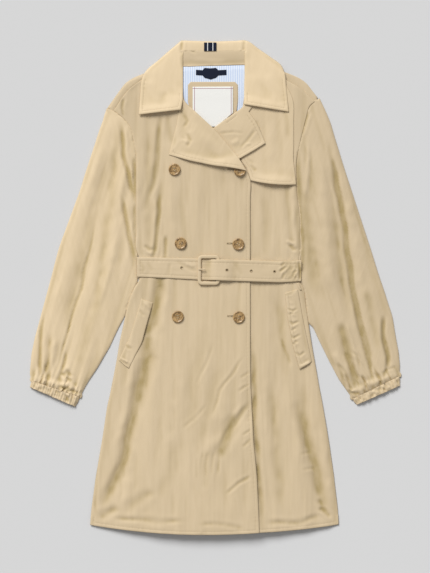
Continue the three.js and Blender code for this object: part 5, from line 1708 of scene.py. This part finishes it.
class COAT_OT_belt(CoatOperator):
    """Close the belt: buckle end, covered buckle, tail with its eyelets, prong and side loop"""

    bl_idname = "coat.belt"
    bl_label = "Belt and buckle"

    def execute(self, context):
        loop, height = lay_piece("belt_under", wall=BELT_LAYER)
        sew_on("belt_under", Outline(loop, 3), height, 3.4, "trim", "trim_cloth",
               ["front_right_cloth", "front_left_cloth"], wall=BELT_WALL)

        buckle = add_mesh("buckle_covered", *buckle_corners(), "trim", "trim_cloth")
        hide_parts("buckle")
        low, high = (np.array(corner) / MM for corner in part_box("buckle"))
        inner = high[0] - BUCKLE_BAR
        over = mask_of(np.array(
            [(inner, low[1]), (high[0], low[1]), (high[0], high[1]), (inner, high[1])]))
        pile.top = np.where(over, np.maximum(pile.top, high[2]), pile.top)

        phase = np.random.default_rng(61).uniform(-1, 1)
        detail = 0.25 * body_crinkle(59, 90) + 0.2 * np.sin(MAP_X / 11 + phase)
        loop, height = lay_piece(
            "belt_front", BELT_FOLDS, detail, reach=3.5, wall=BELT_LAYER, soften=2)
        under_bar = (MAP_X > low[0] - 3) & (MAP_X < low[0] + BUCKLE_BAR + 3)
        height = np.where(under_bar, np.minimum(height, low[2] - 0.2), height)
        outline = Outline(loop, 2.2, sewn=lambda x, y: abs(x) < 176)
        holes = [circle(x, y, BELT_HOLE_RADIUS, 14) for x, y in BELT_HOLES]
        sew_on("belt_front", outline, height, 2.0, "trim", "trim_cloth",
               ["front_right_cloth", "belt_under_cloth"], wall=BELT_WALL, holes=holes,
               folds=BELT_FOLDS)
        self.work_eyelets(height)

        prong = add_mesh("buckle_prong_covered", *prong_corners(), "trim", "trim_cloth")
        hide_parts("buckle_prong")

        loop, height = lay_piece("belt_loop_left", wall=LOOP_LAYER)
        sew_on("belt_loop_left", Outline(loop, 1), height, 1.4, "trim", "trim_cloth",
               ["front_left_cloth"], wall=LOOP_WALL)
        return {"FINISHED"}

    def work_eyelets(self, height):
        """Thread worked over the rim of each hole of the belt."""
        bars = []
        for x, y in BELT_HOLES:
            for k in range(EYELET_BARS):
                turn = 2 * math.pi * k / EYELET_BARS
                step = np.array([math.cos(turn), math.sin(turn)])
                reach = np.array([[BELT_HOLE_RADIUS - 0.1], [EYELET_RADIUS]])
                ends = (x, y) + step * reach
                level = sample(height, ends)
                bars.append(thread_bar(
                    (*ends[0], level[0] - 0.2), (*ends[1], level[1]), 0.35, 0.34, parts=4))
        add_mesh("eyelet_threads", *joined(bars), "thread", "trim_cloth")


def prong_corners():
    """Corners and faces of the prong: a rounded finger from the buckle's bar to the belt's hole."""
    low, high = (np.array(corner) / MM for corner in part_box("buckle_prong"))
    middle, half = (low + high) / 2, (high - low) / 2
    sides, parts = 12, 22
    corners = []
    for k in range(parts + 1):
        share = k / parts
        round_end = math.sqrt(max(0.0, 1 - abs(2 * share - 1) ** 9)) * 0.94 + 0.06
        for s in range(sides):
            turn = 2 * math.pi * s / sides
            corners.append((
                low[0] + (high[0] - low[0]) * share,
                middle[1] + half[1] * round_end * math.cos(turn),
                middle[2] + half[2] * round_end * math.sin(turn)))
    return np.array(corners), ring_faces(parts + 1, sides)


class COAT_OT_welts(CoatOperator):
    """Sew the pocket welts on both fronts"""

    bl_idname = "coat.welts"
    bl_label = "Pocket welts"

    def execute(self, context):
        for side, merged in WELT_SIDES.items():
            node = f"pocket_welt_{side}"
            loop, form = node_form(node, 3)
            away, *_ = map_along(merged)
            form = np.minimum(form, pile.top + LAYER_GAP + WELT_WALL + 0.12 * away)
            form += (fold_map(WELT_FOLDS) + 0.6 * body_crinkle(67, 20)) * smooth_step(0, 9, away)
            height = pile.lay(node, loop, form, WELT_WALL, 2.0)
            sew_on(node, Outline(loop, 2.2, sewn=WELT_STITCHES[side]), height, 2.2, "body",
                   "trim_cloth", [f"front_{side}_cloth"], wall=WELT_WALL, folds=WELT_FOLDS,
                   edge_drop=0.8)
        return {"FINISHED"}


class COAT_OT_sleeves(CoatOperator):
    """Lay both sleeves beside the body, gathered into their cuffs"""

    bl_idname = "coat.sleeves"
    bl_label = "Sleeves"

    def execute(self, context):
        for side, folds, angle, seed in (
                ("right", SLEEVE_RIGHT_FOLDS, -16, 71), ("left", SLEEVE_LEFT_FOLDS, 16, 73)):
            node = f"sleeve_{side}_upper"
            seam = CUFF_ENDS[f"cuff_{side}"][0]
            start, end = seam
            puffed = [(x + 0.075 * (start[1] - end[1]), y + 0.075 * (end[0] - start[0]))
                      for x, y in seam]
            detail = body_crinkle(seed, angle) + gathers(seam, 11, 26, 1.9, seed)
            detail += gathers(seam, 6, 56, 1.4, seed + 1) + fold_map([(puffed, 6, 2.4)])
            _, form = node_form(node, 6)
            height = np.maximum(form + fold_map(folds) + detail, 2.6)
            loop = rounded(outline_of(*top_faces(f"sleeve_{side}_under")), 3)
            covers = []
            for cover, depth in ((f"front_{side}", SIDE_DEPTH), (f"shoulder_edge_{side}", SEAM_DEPTH),
                                 (f"cuff_{side}", 2.4)):
                sewn_in = np.where(MAP_Y > ARMHOLE_END, SEAM_DEPTH, depth)
                covers.append((pile.borders[cover], pile.heights[cover], sewn_in))
            loop = beside(loop, [cover[0] for cover in covers], 4.0, stop=loop[:, 1].max() + 1)
            cuff = seam_distance(seam)
            body = seam_distance(pile.borders[f"front_{side}"])
            shoulder = seam_distance(pile.borders[f"shoulder_edge_{side}"])
            outline = Outline(loop, 3, folded=lambda x, y: (
                (cuff(x, y) > 4) & (shoulder(x, y) > 5) & ~((y > ARMHOLE_END) & (body(x, y) < 4))))
            add_tube(f"sleeve_{side}_cloth", [node, f"sleeve_{side}_under"], outline, height,
                     sizes().pitch / MM, f"sleeve_{side}", "coat_cloth", folds=folds,
                     covers=covers)
        return {"FINISHED"}


def seam_distance(line):
    """Function of the distance from a seam line."""
    return lambda x, y: along(np.column_stack([x, y]), line)[0]


class COAT_OT_cuffs(CoatOperator):
    """Gather the elastic cuffs"""

    bl_idname = "coat.cuffs"
    bl_label = "Cuffs"

    def execute(self, context):
        for node, ends in CUFF_ENDS.items():
            loop, form = node_form(node, 2.0)
            _, share, length = map_along(ends[0])
            turn = math.pi * sizes().cuff_ribs * share / length
            jitter = 0.5 * np.sin(share * 0.31) + 0.4 * np.sin(share * 0.77 + 1)
            ribs = 2.0 * np.abs(np.sin(turn + jitter)) - 0.9 + 0.8 * ripple(79, 9, 14, 20)
            height = pile.lay(node, loop, form, sizes().wall / MM, 1.5)
            tops = [seam_distance(line) for line in ends]
            outline = Outline(
                loop, 1.4, folded=lambda x, y: (tops[0](x, y) > 2.2) & (tops[1](x, y) > 2.2))
            add_tube(f"{node}_cloth", [node], outline, height + ribs, 1.5, "cuff", "trim_cloth",
                     side_radius=3.5)
        return {"FINISHED"}


def stitches_along(outline, height, edge):
    """Corners and faces of the stitches that follow the sewn border of one layer."""
    inset, length = sizes().stitch_inset / MM, sizes().stitch_length / MM
    path = outline.dense - inset * outward_of(outline.dense, 2)
    good = outline.sewn & (outline.nearest(path)[0] > inset - 0.25) & inside(outline.border, *path.T)
    starts = np.arange(0, outline.way[-1] - length, length)
    ends = starts + THREAD_SHOWN * length
    first, last = (np.searchsorted(outline.way, places) for places in (starts, ends))
    last = np.minimum(last, len(path) - 1)
    picked = good[first] & good[last]
    first, last = path[first[picked]], path[last[picked]]
    corners, faces = [], []
    for k, (a, b) in enumerate(zip(first, last)):
        middle = (a + b) / 2
        step = b - a
        size = float(np.hypot(*step))
        if size > 1.4 * length or size < 0.3:
            continue
        side = np.array([-step[1], step[0]]) / size * THREAD_HALF
        places = np.array([a, b, middle + side, middle - side, middle, middle])
        level = sample(height, places) + edge_relief(outline, places, **edge)[0]
        level += np.array([0.05, 0.05, 0.22, 0.22, 0.55, -0.1])
        start = 6 * (len(faces) // 8)
        corners.append(np.column_stack([places, level]))
        for rim in ((2, 4), (4, 3), (3, 5), (5, 2)):
            faces.append((start, start + rim[1], start + rim[0]))
            faces.append((start + 1, start + rim[0], start + rim[1]))
    return (np.vstack(corners), faces) if corners else None


class COAT_OT_stitches(CoatOperator):
    """Top-stitch hems, front edge, collar, lapels, flap, belt and welts"""

    bl_idname = "coat.stitches"
    bl_label = "Top-stitching"

    def execute(self, context):
        rows = [stitches_along(*seam) for seam in SEAMS]
        add_mesh("top_stitches", *joined([row for row in rows if row]), "thread", "trim_cloth")
        return {"FINISHED"}


class COAT_PT_panel(Panel):
    """The coat's operators, in the order that they are laid"""

    bl_label = "Trench coat"
    bl_space_type = "VIEW_3D"
    bl_region_type = "UI"
    bl_category = "Coat"

    def draw(self, context):
        for operator in PIECES:
            self.layout.operator(operator.bl_idname)
        self.layout.prop(context.scene.coat_colours, "cloth")
        self.layout.prop(context.scene.coat_sizes, "crinkle")


PIECES = (
    COAT_OT_stage, COAT_OT_back, COAT_OT_neck, COAT_OT_left_front, COAT_OT_storm_flap,
    COAT_OT_left_lapel, COAT_OT_right_front, COAT_OT_buttons, COAT_OT_right_lapel, COAT_OT_collar,
    COAT_OT_belt, COAT_OT_welts, COAT_OT_cuffs, COAT_OT_sleeves, COAT_OT_stitches,
)
CLASSES = (CoatSizes, CoatColours, *PIECES, COAT_PT_panel)


def register():
    for cls in CLASSES:
        bpy.utils.register_class(cls)
    bpy.types.Scene.coat_sizes = PointerProperty(type=CoatSizes)
    bpy.types.Scene.coat_colours = PointerProperty(type=CoatColours)


def unregister():
    del bpy.types.Scene.coat_colours
    del bpy.types.Scene.coat_sizes
    for cls in reversed(CLASSES):
        bpy.utils.unregister_class(cls)


def main():
    register()
    for operator in PIECES:
        group, name = operator.bl_idname.split(".")
        getattr(getattr(bpy.ops, group), name)()


if __name__ == "__main__":
    main()
